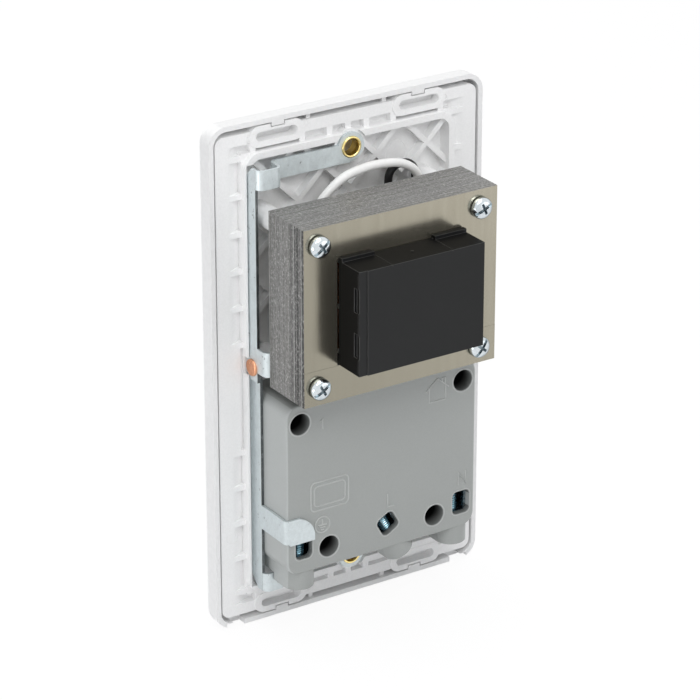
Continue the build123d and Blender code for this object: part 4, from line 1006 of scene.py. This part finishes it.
# Terminal screws with a cut thread
THREAD_PITCH = 0.7 * MM
THREAD_DEPTH = 0.28 * MM
THREAD_FLANK = 1.3
THREAD_STEPS = 8
THREAD_SIDES = 36
THREAD_SMOOTH_BELOW = 50.0
TIP_REACH = 0.1 * MM
HEAD_SHARE = 0.9
HEAD_FOOT_SHARE = 0.94
HEAD_FOOT_HEIGHT = 0.15 * MM
HEAD_TOP_SHARE = 0.9
HEAD_TOP_HEIGHT = 0.3 * MM
TERMINAL_HEAD_SIDES = 40
TERMINAL_HEAD_SMOOTH_BELOW = 40.0
DRIVER_SLOT = (0.8 * MM, 2.0 * MM)
LIVE_LEAN = math.radians(30.0)


def thread_cut(distance, turn):
    """How deep the thread is cut at a distance along the screw and a share of a turn."""
    phase = (distance / THREAD_PITCH - turn) % 1.0
    return max(0.0, THREAD_DEPTH * (1 - abs(2 * phase - 1) * THREAD_FLANK if phase else 0))


def threaded_screw(name, lean):
    """A slotted screw whose thread is a real helical groove."""
    down = Vector((-math.sin(lean), 0, -math.cos(lean)))
    solid = nodes[name].data
    centre = middle(name)
    along = [(v.co - centre).dot(down) for v in solid.vertices]
    across = [((v.co - centre) - down * d).length for v, d in zip(solid.vertices, along)]
    head_radius = max(across)
    head_start = min(d for d, r in zip(along, across) if r > HEAD_SHARE * head_radius)
    head_end = max(along)
    shank_start = min(along)
    shank_radius = max(r for d, r in zip(along, across) if d < shank_start + TIP_REACH)
    shank_length = head_start - shank_start
    matrix = axis_frame(centre, down)
    count = int(shank_length / THREAD_PITCH * THREAD_STEPS)
    vertices = []
    for step in range(count + 1):
        distance = shank_start + shank_length * step / count
        tip = min(1.0, (distance - shank_start) / THREAD_PITCH)
        for i in range(THREAD_SIDES):
            turn = i / THREAD_SIDES
            radius = shank_radius - thread_cut(distance, turn) - (1 - tip) * THREAD_DEPTH
            angle = 2 * math.pi * turn
            vertices.append(matrix @ Vector((radius * math.cos(angle), radius * math.sin(angle), distance)))
    faces = []
    for step in range(count):
        faces += band(step * THREAD_SIDES, (step + 1) * THREAD_SIDES, THREAD_SIDES)
    faces.append(tuple(range(THREAD_SIDES)))
    faces.append(tuple(count * THREAD_SIDES + i for i in range(THREAD_SIDES)))
    shank = built(name + "_thread", vertices, faces)
    smooth_by_angle(shank.data, THREAD_SMOOTH_BELOW)
    dress(shank, finishes["blue_zinc"], name)
    head = revolved(name + "_head", matrix, [
        (0, head_start),
        (head_radius * HEAD_FOOT_SHARE, head_start),
        (head_radius, head_start + HEAD_FOOT_HEIGHT),
        (head_radius, head_end - HEAD_TOP_HEIGHT),
        (head_radius * HEAD_TOP_SHARE, head_end),
        (0, head_end),
    ], TERMINAL_HEAD_SIDES)
    width, depth = DRIVER_SLOT
    slot_turn = Matrix.Rotation(lean, 4, "Y")
    cut(head, block("slot", centre + down * head_end, (width, 3 * head_radius, depth), slot_turn))
    smooth_by_angle(head.data, TERMINAL_HEAD_SMOOTH_BELOW)
    dress(head, finishes["blue_zinc"], name)
    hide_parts(name)


for name, lean in (("earth", 0.0), ("live", LIVE_LEAN), ("neutral", 0.0)):
    threaded_screw(f"terminal_screw_{name}", lean)

# Eyelets: a rolled bead over the strap, a smooth bore with a shallow neck, and a flare at the front
EYELET_BORE = 2.3 * MM
EYELET_WALL = 0.4 * MM
EYELET_BEAD = 0.35 * MM
EYELET_FLARE = 1.4 * MM
EYELET_NECK = 0.1 * MM
NECK_DEPTHS = (2.2 * MM, 1.9 * MM, 1.2 * MM, 0.9 * MM)
BEAD_STEPS = 10
BEAD_TUCK = 0.02 * MM
BEAD_LIP = 0.12 * MM
BEAD_SEAT = 0.15 * MM
EYELET_SIDES = 56
EYELET_SMOOTH_BELOW = 30.0


def rolled_eyelet(name):
    """An eyelet turned from the outline of its wall."""
    low, high = ends(name)
    centre = middle(name)
    flare = (high.x - low.x) / 2
    rear = high.y - EYELET_BEAD
    outer = EYELET_BORE + 2 * EYELET_BEAD
    outside = EYELET_BORE + EYELET_WALL
    neck = EYELET_BORE - EYELET_NECK
    profile = [
        (outside, low.y + EYELET_FLARE),
        (flare, low.y),
        (flare - EYELET_WALL, low.y),
        (EYELET_BORE, low.y + EYELET_FLARE),
    ]
    profile += [(r, rear - depth) for r, depth in zip((EYELET_BORE, neck, neck, EYELET_BORE), NECK_DEPTHS)]
    profile += arc(outer - EYELET_BEAD, rear, EYELET_BEAD, 180, 0, BEAD_STEPS)
    profile += [(outer - BEAD_TUCK, rear - BEAD_LIP), (outside, rear - BEAD_SEAT)]
    matrix = axis_frame((centre.x, 0, centre.z), (0, 1, 0))
    piece = revolved(name + "_rolled", matrix, profile, EYELET_SIDES, closed=True)
    smooth_by_angle(piece.data, EYELET_SMOOTH_BELOW)
    dress(piece, finishes["eyelet_brass"], name)
    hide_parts(name)


rolled_eyelet("eyelet_top")
rolled_eyelet("eyelet_bottom")


# The shutter's spring
def spring_coils():
    """The spring's coils, a copy of the node's mesh in place of the node."""
    piece = add_object("spring_coils", nodes["shutter_spring"].data.copy())
    dress(piece, finishes["spring_steel"], "shutter_spring")
    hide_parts("shutter_spring")
    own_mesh(piece)


spring_coils()


# Raised lines, drawn as strokes of (x, z) points in millimetres, each closed or open
def ridge(name, strokes, y, radius, carrier, material, turn=None):
    """Round-topped ridges along flat strokes, half sunk at a depth."""
    curve = bpy.data.curves.new(name, "CURVE")
    curve.dimensions = "3D"
    curve.bevel_depth = radius
    curve.bevel_resolution = 2
    curve.use_fill_caps = True
    for points, cyclic in strokes:
        poly_spline(curve, [(x * MM, y, z * MM) for x, z in points], cyclic)
    piece = add_object(name, curve_mesh(name, curve))
    if turn is not None:
        piece.data.transform(turn)
    smooth_by_angle(piece.data, ROUNDED_SMOOTH_BELOW)
    dress(piece, material, carrier)


def circle(x, z, radius, count=40):
    """A closed stroke round a point."""
    turns = [2 * math.pi * i / count for i in range(count)]
    return ([(x + radius * math.cos(t), z + radius * math.sin(t)) for t in turns], True)


def rounded_frame(x, z, width, height, radius, count=6):
    """A closed stroke along a rectangle with round corners."""
    points = []
    for side_x, side_z, start in ((1, 1, 0), (-1, 1, 90), (-1, -1, 180), (1, -1, 270)):
        for i in range(count + 1):
            turn = math.radians(start + 90 * i / count)
            points.append((
                x + side_x * (width / 2 - radius) + radius * math.cos(turn),
                z + side_z * (height / 2 - radius) + radius * math.sin(turn),
            ))
    return (points, True)


def seen_from_behind(x, z, strokes):
    """Open strokes drawn with X to the right as seen from the rear, put at their place."""
    return [([(x - px, z + pz) for px, pz in stroke], False) for stroke in strokes]


# The symbols on the rear of the housing: earth, live, neutral, a number, a house and an empty frame, raised
# in the paler grey of painted highlight
MARK_RIDGE = 0.24 * MM
EARTH_AT = (19.35, -39.5)
LIVE_AT = (-2.75, -37.9)
NEUTRAL_AT = (-26.35, -37.5)
NUMBER_AT = (19.3, -9.5)
HOUSE_AT = (-17.85, -8.75)
FRAME_AT = (16.95, -30.7)
marks = {
    "mark_earth": [circle(*EARTH_AT, 2.35)] + seen_from_behind(*EARTH_AT, [
        [(0, 1.7), (0, -0.1)],
        [(-1.35, -0.1), (1.35, -0.1)],
        [(-0.9, -0.8), (0.9, -0.8)],
        [(-0.45, -1.5), (0.45, -1.5)],
    ]),
    "mark_live": seen_from_behind(*LIVE_AT, [[(-1.0, 2.0), (-1.0, -2.0), (1.1, -2.0)]]),
    "mark_neutral": seen_from_behind(*NEUTRAL_AT, [
        [(-1.25, -2.0), (-1.25, 2.0), (1.25, -2.0), (1.25, 2.0)],
    ]),
    "mark_number": seen_from_behind(*NUMBER_AT, [[(-0.6, 0.8), (0.2, 1.5), (0.2, -1.5)]]),
    "mark_house": seen_from_behind(*HOUSE_AT, [
        [(-3.75, 0.2), (0, 3.35), (3.75, 0.2)],
        [(-2.7, 1.0), (-2.7, -3.35), (2.7, -3.35), (2.7, 1.0)],
        [(1.6, 2.1), (1.6, 3.1), (2.5, 3.1), (2.5, 1.3)],
    ]),
    "mark_frame": [rounded_frame(*FRAME_AT, 12.0, 8.5, 1.3), rounded_frame(*FRAME_AT, 9.8, 5.9, 1.1)],
}
for name, strokes in marks.items():
    ridge(name, strokes, housing_rear, MARK_RIDGE, "rear_housing", finishes["grey_mark_painted_highlight"])

# The low rims round the wire entries, each given by its centre, width, height and lean, and round the bores,
# in the paler grey of painted highlight
ENTRY_RIDGE = 0.13 * MM
ENTRY_RIM_SUNK = 0.03 * MM
ENTRY_CORNER = 1.7
ENTRIES = (
    (25.2, -45.0, 5.8, 7.1, 0.0),
    (-1.85, -45.0, 6.4, 6.4, LIVE_LEAN),
    (-26.1, -45.0, 6.2, 7.5, 0.0),
)
BORE_RIDGE = 0.2 * MM
BORE_RIM_SUNK = 0.04 * MM
BORE_RIM_RADIUS = 3.35
BORE_RIM_SIDES = 56
entry_rims = []
for x, z, width, height, lean in ENTRIES:
    points, closed = rounded_frame(0.0, 0.0, width, height, ENTRY_CORNER)
    entry_rims.append(([
        (x + px * math.cos(lean) + pz * math.sin(lean), z - px * math.sin(lean) + pz * math.cos(lean))
        for px, pz in points
    ], closed))
bore_rims = []
for number in SCREW_NUMBERS:
    centre = middle(f"housing_screw_{number}") / MM
    bore_rims.append(circle(centre.x, centre.z, BORE_RIM_RADIUS, BORE_RIM_SIDES))
for name, strokes, sunk, radius in (
    ("entry_rims", entry_rims, ENTRY_RIM_SUNK, ENTRY_RIDGE),
    ("bore_rims", bore_rims, BORE_RIM_SUNK, BORE_RIDGE),
):
    ridge(name, strokes, housing_rear - sunk, radius, "rear_housing", finishes["grey_mark_painted_highlight"])

# The moulding flash round the two latch slots and along the seam in the side of the rear shroud, in the
# paler plastic of painted highlight
FLASH = 0.05 * MM
SLOT_FROM_REAR = 2.0
SLOT_SIZE = (1.5, 6.8)
SLOT_CORNER = 0.1
SLOT_OFF_MIDDLE = 6.3
SEAM_OFF_SLOT = 0.4
SEAM_STEP = 0.7
# The seam's corners: how far above the middle, and whether the line has stepped towards the rear
SEAM = (
    (14.0, False), (10.2, False), (9.6, True), (3.4, True), (2.8, False),
    (-2.8, False), (-3.4, True), (-9.6, True), (-10.2, False), (-14.0, False),
)
side_turn = Matrix.Rotation(-math.pi / 2, 4, "Z")
core_middle = middle("core_e_laminations").z / MM
slot_x = SLOT_FROM_REAR - cover_high.y / MM
seam_x = slot_x - SLOT_SIZE[0] / 2 - SEAM_OFF_SLOT
slot_z = [core_middle + side * SLOT_OFF_MIDDLE for side in (-1, 1)]
flash_lines = [rounded_frame(slot_x, z, *SLOT_SIZE, SLOT_CORNER, 1) for z in slot_z]
seam = [(seam_x - SEAM_STEP * stepped, core_middle + offset) for offset, stepped in SEAM]
flash_lines.append((seam, False))
ridge("cover_flash", flash_lines, cover_high.x, FLASH, "coil_cover_rear", finishes["cover_edge_painted_highlight"], side_turn)

# The faint rings that mould pins leave on the chassis, each given by its centre and radius
PIN_RIDGE = 0.1 * MM
PIN_SUNK = 0.02 * MM
PIN_MARKS = (
    (-16.9, 54.3, 3.1), (-0.2, 52.6, 2.2), (30.3, 68.5, 1.2),
    (-30.3, 68.0, 1.0), (37.6, -45.8, 1.6), (13.8, 69.3, 0.9),
)
chassis_surface = surface_of(mouldings["chassis"].data)
for number, (x, z, radius) in enumerate(PIN_MARKS):
    hit = chassis_surface.ray_cast(Vector((x * MM, cad_box[1][1], z * MM)), Vector((0, -1, 0)))
    ring = [circle(x, z, radius)]
    ridge(f"pin_mark_{number}", ring, hit[0].y - PIN_SUNK, PIN_RIDGE, "chassis", finishes["white_chassis"])
